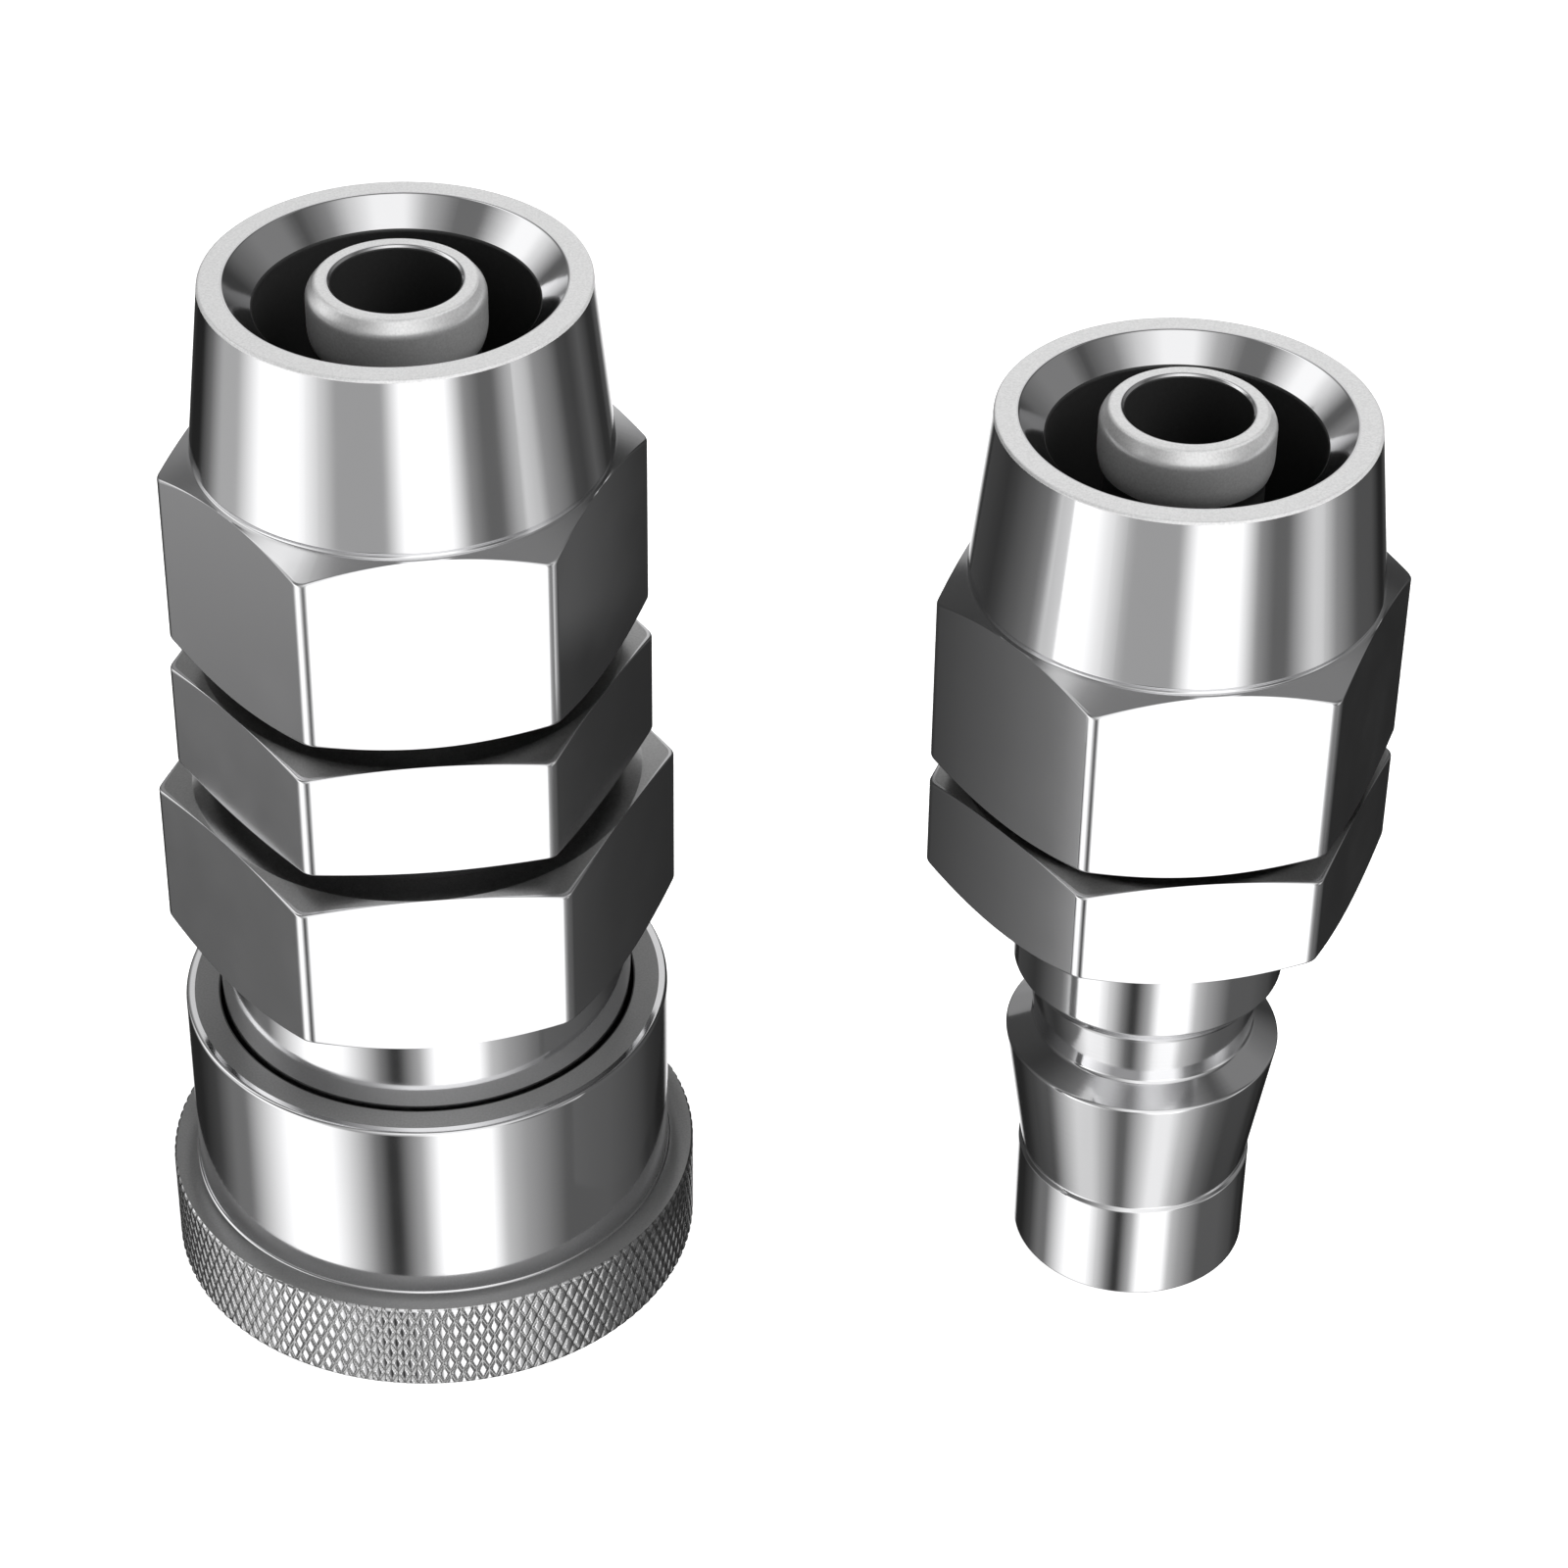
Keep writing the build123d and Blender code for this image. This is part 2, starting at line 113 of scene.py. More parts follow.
def hex_azimuths(flats, turned, edge=HEX_EDGE):
    """Angles that put a column on both ends of each rounded edge, with many on it and some on each flat."""
    half = edge_half_angle(flats, edge)
    on_edge = np.linspace(-half, half, EDGE_COLUMNS)
    on_flat = np.linspace(half + EDGE_GUARD, CORNER_STEP - half - EDGE_GUARD, FLAT_COLUMNS)
    one_side = np.concatenate([on_edge, on_flat])
    starts = np.radians(turned) + np.arange(6) * CORNER_STEP
    return (starts[:, None] + one_side[None, :]).ravel()


def hex_radius(azimuth, flats, turned, edge=HEX_EDGE):
    """Distance from the axis to a hexagon with rounded upright edges, at each angle.

    On a flat it is half the width over the cosine of the angle from the flat's middle. On an edge it is
    where the ray meets the rounding circle.
    """
    corner = np.radians(turned)
    off = (azimuth - corner + CORNER_STEP / 2) % CORNER_STEP - CORNER_STEP / 2
    centre = (flats / 2 - edge) / FLAT_TO_CORNER
    half = edge_half_angle(flats, edge)
    flat = flats / 2 / np.cos(CORNER_STEP / 2 - np.abs(off))
    inside = np.maximum(edge**2 - (centre * np.sin(off)) ** 2, 0)
    rounded = centre * np.cos(off) + np.sqrt(inside)
    return np.where(np.abs(off) < half, rounded, flat)


# %% [markdown]
# No real edge is sharp, and on polished metal the tiny round of an edge draws a bright line along it. So
# each corner of an outline becomes a short curve. Just beside it lies one more ring of points, which keeps
# the smooth shading of the curve from spreading over the long face next to it.

# %% Roundings in use
# They go from a corner that nobody sees to an edge that the tool has broken well.
HAIR = 0.01
CRISP = 0.02
KEEN = 0.03
SLIGHT = 0.05
BROKEN = 0.06
EASED = 0.1
TURNED = 0.12

# %% Soften the corners of an outline
# GUARD is how far the extra ring lies from the curve. The two shares keep both within a short side, and
# NO_LENGTH keeps a side that has no length from causing a division by zero.
CURVE_STEPS = np.linspace(0, 1, 6)
GUARD = 0.03
CURVE_SHARE = 0.4
GUARD_SHARE = 0.08
NO_LENGTH = 1e-9


def soften(radius, height, rounding):
    """Replace each corner of closed outlines by a quadratic curve with a guard ring on both sides.

    radius and height have one row for each corner and one column for each angle. The curve starts on the
    side behind the corner and ends on the side ahead, with the weights (1 - w)^2 back and w^2 ahead.
    """
    points = np.stack([radius, height], axis=-1)
    back = np.roll(points, 1, axis=0) - points
    ahead = np.roll(points, -1, axis=0) - points
    back_length = np.linalg.norm(back, axis=-1, keepdims=True)
    ahead_length = np.linalg.norm(ahead, axis=-1, keepdims=True)
    shorter = np.minimum(back_length, ahead_length)
    back = back / np.maximum(back_length, NO_LENGTH)
    ahead = ahead / np.maximum(ahead_length, NO_LENGTH)
    reach = np.minimum(np.asarray(rounding, float)[:, None, None], CURVE_SHARE * shorter)
    guard = np.minimum(GUARD, GUARD_SHARE * shorter)
    curve = [points + (1 - w) ** 2 * reach * back + w**2 * reach * ahead for w in CURVE_STEPS]
    rings = [points + (reach + guard) * back] + curve + [points + (reach + guard) * ahead]
    stacked = np.stack(rings, axis=1)
    return stacked.reshape(-1, points.shape[1], 2)


# %% Build a mesh from a grid
def closed_grid(name, vertices, finish_numbers, finishes):
    """Make a mesh from a grid of points that closes on itself in both directions, with its faces outwards.

    finish_numbers has one number for each row of faces, or one for each face.
    """
    rows, columns = vertices.shape[:2]
    i, j = np.meshgrid(np.arange(rows), np.arange(columns), indexing="ij")
    i_next, j_next = (i + 1) % rows, (j + 1) % columns
    faces = np.stack(
        [i * columns + j, i * columns + j_next, i_next * columns + j_next, i_next * columns + j], axis=-1
    ).reshape(-1, 4)
    flat = vertices.reshape(-1, 3)
    a, b, c, d = (flat[faces[:, k]] for k in range(4))
    volume = (np.einsum("ij,ij->i", a, np.cross(b, c)) + np.einsum("ij,ij->i", a, np.cross(c, d))).sum()
    if volume < 0:
        faces = faces[:, ::-1]
    mesh = bpy.data.meshes.new(name)
    mesh.vertices.add(len(flat))
    mesh.vertices.foreach_set("co", (flat * MM).astype(np.float32).ravel())
    mesh.loops.add(faces.size)
    mesh.loops.foreach_set("vertex_index", faces.astype(np.int32).ravel())
    mesh.polygons.add(len(faces))
    mesh.polygons.foreach_set("loop_start", np.arange(len(faces), dtype=np.int32) * 4)
    numbers = np.reshape(finish_numbers, (rows, -1))
    numbers = np.broadcast_to(numbers, (rows, columns)).astype(np.int32)
    mesh.polygons.foreach_set("material_index", numbers.ravel())
    mesh.polygons.foreach_set("use_smooth", np.ones(len(faces), bool))
    mesh.update(calc_edges=True)
    mesh.validate()
    for finish in finishes:
        mesh.materials.append(finish)
    piece = bpy.data.objects.new(name, mesh)
    bpy.context.scene.collection.objects.link(piece)
    print(name, "has", 2 * len(faces), "triangles")
    return piece


def turned_piece(name, axis_x, azimuth, corners, finishes):
    """Spin a closed outline of (radius, height, rounding, finish number) corners about an upright axis.

    A radius or a height is one number, or one for each angle. A finish covers the stretch after its corner.
    """
    radius = np.array([np.broadcast_to(c[0], azimuth.shape) for c in corners])
    height = np.array([np.broadcast_to(c[1], azimuth.shape) for c in corners])
    outline = soften(radius, height, [c[2] for c in corners])
    rings = len(CURVE_STEPS) + 2
    own = np.repeat([c[3] for c in corners], rings)
    r, z = outline[..., 0], outline[..., 1]
    vertices = np.stack([axis_x + r * np.cos(azimuth), r * np.sin(azimuth), z], axis=-1)
    return closed_grid(name, vertices, own, finishes)


# %% [markdown]
# ## Finishes
# The plating is bright nickel over turned and polished steel: a mirror with very fine rings left by the
# tool. A metallic shader at low roughness gives the mirror. The rings are bump from noise that changes
# quickly along the axis and slowly round it. Faces that were only faced off on the lathe are duller, rims
# are satin, and the barbs are burnished. The cones that face another hexagon and the knurl's grooves carry
# painted shade in a darker base colour, and bores, threads and stems in gaps carry darker painted shade.

# %% Shader helpers
# The depth of the finest bump, in metres.
SHALLOW = 0.00002


def opaque(grey):
    """A grey as a colour with full alpha."""
    return (grey, grey, grey, 1)


def new_material(name, color, metallic, roughness):
    """A node material with one Principled shader, and a handle on its nodes."""
    material = bpy.data.materials.new(name)
    material.use_nodes = True
    nodes, links = material.node_tree.nodes, material.node_tree.links
    shader = nodes["Principled BSDF"]
    shader.inputs["Base Color"].default_value = color
    shader.inputs["Metallic"].default_value = metallic
    shader.inputs["Roughness"].default_value = roughness
    return material, nodes, links, shader


def add_noise(nodes, links, scale, detail, stretch=(1, 1, 1)):
    """Noise on object coordinates. A larger stretch makes it change quicker along that axis."""
    place = nodes.new("ShaderNodeTexCoord")
    mapping = nodes.new("ShaderNodeMapping")
    mapping.inputs["Scale"].default_value = stretch
    noise = nodes.new("ShaderNodeTexNoise")
    noise.inputs["Scale"].default_value = scale
    noise.inputs["Detail"].default_value = detail
    links.new(place.outputs["Object"], mapping.inputs["Vector"])
    links.new(mapping.outputs["Vector"], noise.inputs["Vector"])
    return noise


def ramp(nodes, links, source, stops):
    """A colour ramp in greys over a 0 to 1 value. stops are (place, grey)."""
    node = nodes.new("ShaderNodeValToRGB")
    elements = node.color_ramp.elements
    while len(elements) < len(stops):
        elements.new(0.5)
    for element, (place, grey) in zip(elements, stops):
        element.position = place
        element.color = opaque(grey)
    links.new(source, node.inputs["Fac"])
    return node


def add_bump(nodes, links, shader, source, strength, distance=SHALLOW):
    """Bump from a grey source, with its depth in metres."""
    bump = nodes.new("ShaderNodeBump")
    bump.inputs["Strength"].default_value = strength
    bump.inputs["Distance"].default_value = distance
    links.new(source, bump.inputs["Height"])
    links.new(bump.outputs["Normal"], shader.inputs["Normal"])


# %% Bright nickel plate
NICKEL = (0.86, 0.86, 0.87, 1)
TOOL_RINGS = (40, 40, 9000)


def bright_plate(name, roughness, ring_strength):
    """Polished plating with faint rings across the axis and slightly uneven gloss."""
    material, nodes, links, shader = new_material(name, NICKEL, 1.0, roughness)
    rings = add_noise(nodes, links, scale=1.0, detail=2.0, stretch=TOOL_RINGS)
    add_bump(nodes, links, shader, rings.outputs["Fac"], ring_strength)
    gloss = add_noise(nodes, links, scale=260.0, detail=4.0)
    uneven = ramp(nodes, links, gloss.outputs["Fac"], [(0.3, roughness * 0.8), (0.7, roughness * 1.3)])
    links.new(uneven.outputs["Color"], shader.inputs["Roughness"])
    return material


polished = bright_plate("polished nickel", roughness=0.09, ring_strength=0.05)
milled = bright_plate("milled nickel", roughness=0.16, ring_strength=0.02)


# %% Faced finishes and painted shade
GRAIN_SCALE = 9000.0


def grained_plate(name, grey, metallic, roughness, grain):
    """Plating with a fine even grain, in tone and in bump: faced off, left by a tool, or darkened as
    painted shade.
    """
    material, nodes, links, shader = new_material(name, opaque(grey), metallic, roughness)
    noise = add_noise(nodes, links, scale=GRAIN_SCALE, detail=2.0)
    add_bump(nodes, links, shader, noise.outputs["Fac"], grain)
    speckle = ramp(nodes, links, noise.outputs["Fac"], [(0.3, grey * 0.92), (0.7, grey * 1.08)])
    links.new(speckle.outputs["Color"], shader.inputs["Base Color"])
    return material


faced = grained_plate("faced nickel", grey=0.27, metallic=0.5, roughness=0.42, grain=0.15)
satin = grained_plate("satin nickel", grey=0.84, metallic=0.5, roughness=0.4, grain=0.15)
burnished = grained_plate("burnished nickel", grey=0.85, metallic=0.68, roughness=0.3, grain=0.03)
# Painted shade: a darker base colour on the cones that face another hexagon across the gap between them.
cone_shade = grained_plate("nickel with painted cone shade", grey=0.5, metallic=1.0, roughness=0.28, grain=0.1)
# Painted shade: a darker base colour in the knurl's grooves.
groove_shade = grained_plate("pressed nickel with painted groove shade", grey=0.46, metallic=1.0, roughness=0.2, grain=0.1)
# Painted shade: a near black base colour inside bores and cavities.
bore_shade = grained_plate("bore with painted shade", grey=0.045, metallic=0.5, roughness=0.4, grain=0.1)
# Painted shade: a dark base colour on threads, reliefs and stems that sit in gaps and inside the nuts.
thread_shade = grained_plate("thread with painted shade", grey=0.12, metallic=0.8, roughness=0.35, grain=0.1)
finishes = [polished, milled, faced, satin, burnished, cone_shade, groove_shade, bore_shade, thread_shade]
POLISHED, MILLED, FACED, SATIN, BURNISHED, CONE_SHADE, GROOVE_SHADE, BORE_SHADE, THREAD_SHADE = range(9)

# %% [markdown]
# ## The hexagon's outline
# Six corners carry a hexagon. Four are the start of the lower cone, the two creases and the end of the
# upper cone. The other two lie on the cones close to the creases, where the flats' bright finish ends and
# the cone's own finish starts, which is painted shade on a cone that faces another hexagon. A crease is
# curved, because a cone cuts deeper the further the hexagon reaches from the axis.

# %% Hexagon corners
# CONE_LIP is how far a cone runs on inside the circle that the flats touch. The flats' finish runs on past
# a crease, for BRIGHT_CREASE at the hexagon's corners and for less elsewhere.
CONE_LIP = 0.03
BRIGHT_CREASE = 0.3


def hexagon(azimuth, flats, turned, low_z, high_z, low_drop, high_drop, low_finish, high_finish):
    """The corners of an outline that runs up a hexagon with its corners turned down to cones.

    At a crease a cone has cut its drop times how far the hexagon reaches there, from 0 in the middle of a
    flat to 1 at a sharp corner.
    """
    reach = hex_radius(azimuth, flats, turned)
    start = flats / 2
    furthest = start / FLAT_TO_CORNER
    share = (reach - start) / (furthest - start)
    inner = start - CONE_LIP
    low_crease = low_z + low_drop * share
    high_crease = high_z - high_drop * share
    bright = 1 - BRIGHT_CREASE / (furthest - inner)
    bright_r = inner + bright * (reach - inner)
    return [
        (inner, low_z, CRISP, low_finish),
        (bright_r, low_z + bright * (low_crease - low_z), HAIR, MILLED),
        (reach, low_crease, TURNED, MILLED),
        (reach, high_crease, TURNED, MILLED),
        (bright_r, high_z + bright * (high_crease - high_z), HAIR, high_finish),
        (inner, high_z, CRISP, high_finish),
    ]


# %% [markdown]
# ## Hose nuts
# Both halves have the same nut: a hexagon for the spanner, then a collar that tapers a little towards the
# hose. A fine groove marks the collar's foot. The mouth is a 45 degree cone that guides the hose in.

# %% Sizes of the hose nut
NUT_FLATS = 20.0
NUT_HEX_H = 10.32
NUT_H = 19.17
COLLAR_FOOT_R = 9.93
COLLAR_RIM_R = 9.0
COLLAR_GROOVE = 0.12
COLLAR_GROOVE_LOW = 0.08
COLLAR_GROOVE_HIGH = 0.24
COLLAR_FOOT_H = 0.36
COLLAR_FOOT_CUT = 0.03
NUT_BORE_R = 6.55
NUT_BORE_ROUND = 0.08
NUT_MOUTH_R = 7.85
NUT_THREAD_R = 8.0
NUT_THREAD_H = 8.3
NUT_ENTRY = 0.5
NUT_LOW_DROP = 0.71
NUT_HIGH_DROP = 0.85


# %% Make the nuts
def hose_nut(name, node, axis_x, turned):
    """The nut's outline: up the hexagon and the collar, over the rim, and down the bore."""
    base = low(node)[2]
    azimuth = hex_azimuths(NUT_FLATS, turned)
    hex_top = base + NUT_HEX_H
    rim = base + NUT_H
    thread_top = base + NUT_THREAD_H
    groove_r = COLLAR_FOOT_R - COLLAR_GROOVE
    mouth_depth = NUT_MOUTH_R - NUT_BORE_R
    thread_step = NUT_THREAD_R - NUT_BORE_R
    corners = [(NUT_THREAD_R + NUT_ENTRY, base, SLIGHT, THREAD_SHADE)]
    # The lower cone faces the hexagon below and carries painted shade.
    corners += hexagon(
        azimuth, NUT_FLATS, turned, base, hex_top, NUT_LOW_DROP, NUT_HIGH_DROP, CONE_SHADE, MILLED
    )
    corners += [
        (groove_r, hex_top + COLLAR_GROOVE_LOW, SLIGHT, POLISHED),
        (groove_r, hex_top + COLLAR_GROOVE_HIGH, SLIGHT, POLISHED),
        (COLLAR_FOOT_R - COLLAR_FOOT_CUT, hex_top + COLLAR_FOOT_H, BROKEN, POLISHED),
        (COLLAR_RIM_R, rim, TURNED, SATIN),
        (NUT_MOUTH_R, rim, BROKEN, POLISHED),
        (NUT_BORE_R, rim - mouth_depth, NUT_BORE_ROUND, BORE_SHADE),
        (NUT_BORE_R, thread_top + thread_step, EASED, BORE_SHADE),
        (NUT_THREAD_R, thread_top, EASED, THREAD_SHADE),
        (NUT_THREAD_R, base + NUT_ENTRY, SLIGHT, THREAD_SHADE),
    ]
    return turned_piece(name, axis_x, azimuth, corners, finishes)


SOCKET_NUT_TURN = 10.35
PLUG_NUT_TURN = 7.6
socket_nut = hose_nut("socket_nut_visual", "socket_hose_nut", SOCKET_X, SOCKET_NUT_TURN)
plug_nut = hose_nut("plug_nut_visual", "plug_hose_nut", PLUG_X, PLUG_NUT_TURN)
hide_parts("socket_hose_nut")
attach(socket_nut, "socket_nut")
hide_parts("plug_hose_nut")
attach(plug_nut, "plug_nut")

# %% [markdown]
# ## Hose tail
# The adapter and the plug end in the same tail: a thread for the nut, then a stem with a rounded barb that
# holds the hose. The relief below the thread is narrower, so that the nut can run down to the hexagon.

# %% Sizes of the hose tail
TAIL_H = 20.1
RELIEF_R = 7.3
RELIEF_H = 1.15
THREAD_R = 7.9
THREAD_TOP_H = 7.4
TAIL_CONE_R = 5.4
TAIL_CONE_H = 1.3
STEM_R = 3.8
STEM_BORE_R = 2.97
STEM_BORE_EDGE = 0.15
STEM_BORE_ROUND = 0.04
BARB_R = 4.15
BARB_TIP_R = 3.7
BARB_ROUND_H = 0.55
BARB_BAND_H = 2.0
BARB_BACK_H = 1.0
BARB_HEEL = 0.6
BARB_SHOULDER = 0.3


def hose_tail(base):
    """The outline from a hexagon's top up the thread and the stem, over the barb's tip, into the bore."""
    thread_low = base + RELIEF_H
    thread_high = base + THREAD_TOP_H
    stem_foot = thread_high + TAIL_CONE_H
    tip = base + TAIL_H
    band_high = tip - BARB_ROUND_H
    band_low = band_high - BARB_BAND_H
    # The relief, the thread and the stem below the barb carry painted shade, and so does the bore.
    return [
        (RELIEF_R, base, EASED, THREAD_SHADE),
        (RELIEF_R, thread_low, SLIGHT, THREAD_SHADE),
        (THREAD_R, thread_low + THREAD_R - RELIEF_R, SLIGHT, THREAD_SHADE),
        (THREAD_R, thread_high, EASED, THREAD_SHADE),
        (TAIL_CONE_R, stem_foot, EASED, THREAD_SHADE),
        (STEM_R, stem_foot, EASED, THREAD_SHADE),
        (STEM_R, band_low - BARB_BACK_H, BARB_SHOULDER, THREAD_SHADE),
        (BARB_R, band_low, BARB_HEEL, BURNISHED),
        (BARB_R, band_high, BARB_SHOULDER, BURNISHED),
        (BARB_TIP_R, tip, EASED, SATIN),
        (STEM_BORE_R + STEM_BORE_EDGE, tip, SLIGHT, MILLED),
        (STEM_BORE_R, tip - STEM_BORE_EDGE, STEM_BORE_ROUND, BORE_SHADE),
    ]


# %% [markdown]
# ## Hose adapter
# The adapter screws into the socket's body below and takes the nut above. Between the hexagons only its
# narrow thread relief shows, deep in shadow.

# %% Sizes of the hose adapter
ADAPTER_FLATS = 20.2
ADAPTER_TURN = 8.4
ADAPTER_HEX_H = 6.11
ADAPTER_LOW_DROP = 0.3
ADAPTER_HIGH_DROP = 0.4
SPIGOT_R = 8.2
SPIGOT_BORE_R = 7.2
SPIGOT_BORE_H = 4.9
UNDERCUT_R = 7.7
UNDERCUT_H = 1.39

# %% Make the adapter
adapter_low = low("hose_adapter")[2]
adapter_base = high("hose_adapter")[2] - TAIL_H - ADAPTER_HEX_H
azimuth = hex_azimuths(ADAPTER_FLATS, ADAPTER_TURN)
adapter_top = adapter_base + ADAPTER_HEX_H
corners = [
    (SPIGOT_BORE_R, adapter_low, SLIGHT, THREAD_SHADE),
    (SPIGOT_R, adapter_low, EASED, THREAD_SHADE),
    (SPIGOT_R, adapter_base - UNDERCUT_H, SLIGHT, THREAD_SHADE),
    (UNDERCUT_R, adapter_base - UNDERCUT_H, SLIGHT, THREAD_SHADE),
    (UNDERCUT_R, adapter_base, SLIGHT, THREAD_SHADE),
]
# Both cones face another hexagon and carry painted shade.
corners += hexagon(
    azimuth, ADAPTER_FLATS, ADAPTER_TURN, adapter_base, adapter_top,
    ADAPTER_LOW_DROP, ADAPTER_HIGH_DROP, CONE_SHADE, CONE_SHADE,
)
corners += hose_tail(adapter_top)
corners += [
    (STEM_BORE_R, adapter_low + SPIGOT_BORE_H, SLIGHT, BORE_SHADE),
    (SPIGOT_BORE_R, adapter_low + SPIGOT_BORE_H, SLIGHT, BORE_SHADE),
]
adapter = turned_piece("adapter_visual", SOCKET_X, azimuth, corners, finishes)
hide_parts("hose_adapter")
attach(adapter, "coupling")

# %% [markdown]
# ## Socket body
# The body's hexagon, neck and inner steps are one turned outline. Its front tube is a second piece of mesh,
# because the ball holes are cut through it.

# %% Sizes of the socket body
BODY_FLATS = 22.0
BODY_TURN = 8.4
BODY_HEX_H = 8.95
BODY_LOW_DROP = 0.95
BODY_HIGH_DROP = 0.43
NECK_R = 10.3
NECK_Z = 14.5
TUBE_R = 9.2
BORE_R = 6.15
WEB_R = 6.3
SEAL_GROOVE_R = 8.0
SEAL_GROOVE_Z = 15.0
SEAL_GROOVE_TOP_Z = 17.4
VALVE_ROOM_R = 8.0
VALVE_FLOOR_Z = 19.0
BODY_THREAD_R = 8.3
BODY_THREAD_Z = 24.5

# %% Make the body
body_top = high("socket_body")[2]
body_base = body_top - BODY_HEX_H
azimuth = hex_azimuths(BODY_FLATS, BODY_TURN)
corners = [
    (BORE_R, NECK_Z, CRISP, BORE_SHADE),
    (NECK_R, NECK_Z, EASED, POLISHED),
    (NECK_R, body_base, TURNED, MILLED),
]
# The upper cone faces the adapter's hexagon and carries painted shade.
corners += hexagon(
    azimuth, BODY_FLATS, BODY_TURN, body_base, body_top, BODY_LOW_DROP, BODY_HIGH_DROP, MILLED, CONE_SHADE
)
corners += [
    (BODY_THREAD_R, body_top, EASED, THREAD_SHADE),
    (BODY_THREAD_R, BODY_THREAD_Z, SLIGHT, THREAD_SHADE),
    (VALVE_ROOM_R, BODY_THREAD_Z, SLIGHT, BORE_SHADE),
    (VALVE_ROOM_R, VALVE_FLOOR_Z, SLIGHT, BORE_SHADE),
    (WEB_R, VALVE_FLOOR_Z, SLIGHT, BORE_SHADE),
    (WEB_R, SEAL_GROOVE_TOP_Z, SLIGHT, BORE_SHADE),
    (SEAL_GROOVE_R, SEAL_GROOVE_TOP_Z, SLIGHT, BORE_SHADE),
    (SEAL_GROOVE_R, SEAL_GROOVE_Z, SLIGHT, BORE_SHADE),
    (BORE_R, SEAL_GROOVE_Z, SLIGHT, BORE_SHADE),
]
body = turned_piece("body_visual", SOCKET_X, azimuth, corners, finishes)
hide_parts("socket_body")
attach(body, "coupling")

# %% Sizes of the front tube
MOUTH_Z = 0.3
MOUTH_R = 7.08
MOUTH_CHAMFER = 0.5
MOUTH_END_Z = 8.8
BORE_Z = 13.0
RING_GROOVE_R = 8.68
RING_GROOVE_Z = 0.95
RING_GROOVE_TOP_Z = 1.75
BALL_COUNT = 8
BALL_Z = 5.0
BALL_HOLE_R = 1.55
LIP_IN_R = 6.78
LIP_OUT_R = 7.53
LIP_END_R = 1.26
PEG_END_R = 10.0
PEG_COLUMNS = 24
TUBE_ROUND = 0.15
TUBE_OVERLAP = 0.2
TUBE_COLUMNS = 128

# %% Make the front tube
tube_top = NECK_Z + TUBE_OVERLAP
corners = [
    (MOUTH_R + MOUTH_CHAMFER, MOUTH_Z, SLIGHT, MILLED),
    (TUBE_R, MOUTH_Z, TUBE_ROUND, MILLED),
    (TUBE_R, RING_GROOVE_Z, KEEN, MILLED),
    (RING_GROOVE_R, RING_GROOVE_Z, KEEN, MILLED),
    (RING_GROOVE_R, RING_GROOVE_TOP_Z, KEEN, MILLED),
    (TUBE_R, RING_GROOVE_TOP_Z, KEEN, MILLED),
    (TUBE_R, tube_top, KEEN, MILLED),
    (BORE_R, tube_top, KEEN, MILLED),
    (BORE_R, BORE_Z, EASED, MILLED),
    (MOUTH_R, MOUTH_END_Z, EASED, MILLED),
    (MOUTH_R, MOUTH_Z + MOUTH_CHAMFER, SLIGHT, MILLED),
]
tube = turned_piece("front_tube", SOCKET_X, round_azimuths(TUBE_COLUMNS), corners, finishes)


# %% Cut the ball holes
def ball_pegs():
    """Pegs that point away from the axis, one for each hole: a cylinder with a cone at its inner end.

    A peg's rings lie at three distances from the axis. Each ring is a circle across the peg.
    """
    spin = round_azimuths(PEG_COLUMNS)
    out = round_azimuths(BALL_COUNT)[:, None, None]
    distance = np.array([LIP_IN_R, LIP_OUT_R, PEG_END_R])[None, :, None]
    width = np.array([LIP_END_R, BALL_HOLE_R, BALL_HOLE_R])[None, :, None]
    side, up = width * np.cos(spin), width * np.sin(spin)
    x = SOCKET_X + distance * np.cos(out) - side * np.sin(out)
    y = distance * np.sin(out) + side * np.cos(out)
    points = np.stack(np.broadcast_arrays(x, y, BALL_Z + up), axis=-1).reshape(-1, 3)
    ring = np.arange(PEG_COLUMNS)
    after = np.roll(ring, -1)
    faces = []
    for start in np.arange(BALL_COUNT) * 3 * PEG_COLUMNS:
        for level in (start, start + PEG_COLUMNS):
            around = [level + ring, level + PEG_COLUMNS + ring, level + PEG_COLUMNS + after, level + after]
            faces += np.stack(around, axis=1).tolist()
        faces += [(start + ring).tolist(), (start + 2 * PEG_COLUMNS + ring[::-1]).tolist()]
    mesh = bpy.data.meshes.new("ball pegs")
    mesh.from_pydata((points * MM).tolist(), [], faces)
    return bpy.data.objects.new("ball_pegs", mesh)


def cut_away(piece, cutter):
    """Take one solid out of another for good, with a boolean modifier that is used at once."""
    bpy.context.scene.collection.objects.link(cutter)
    boolean = piece.modifiers.new("cut", "BOOLEAN")
    boolean.operation = "DIFFERENCE"
    boolean.solver = "EXACT"
    boolean.object = cutter
    seen = piece.evaluated_get(bpy.context.evaluated_depsgraph_get())
    cut = bpy.data.meshes.new_from_object(seen)
    piece.modifiers.remove(boolean)
    piece.data = cut
    bpy.data.objects.remove(cutter)
    print(piece.name, "has", len(cut.polygons), "faces after the cut")


cut_away(tube, ball_pegs())
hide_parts("socket_body")
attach(tube, "coupling")

# %% [markdown]
# ## Release sleeve
# The sleeve is a plain polished cylinder with a wider band at its end for the fingers. A small fillet where
# the two meet catches the light as a thin bright line, and so does the rounded edge at the top. Both stay
# polished for BRIGHT_SPAN times their rounding, and the faced rings start after that. A narrow lip at the
# top halves the gap to the body's neck. The band is a ring of its own, with the knurl on its side. The
# sleeve's wall is sunk into it by a hair, so no gap shows, and comes out of its top in the fillet.

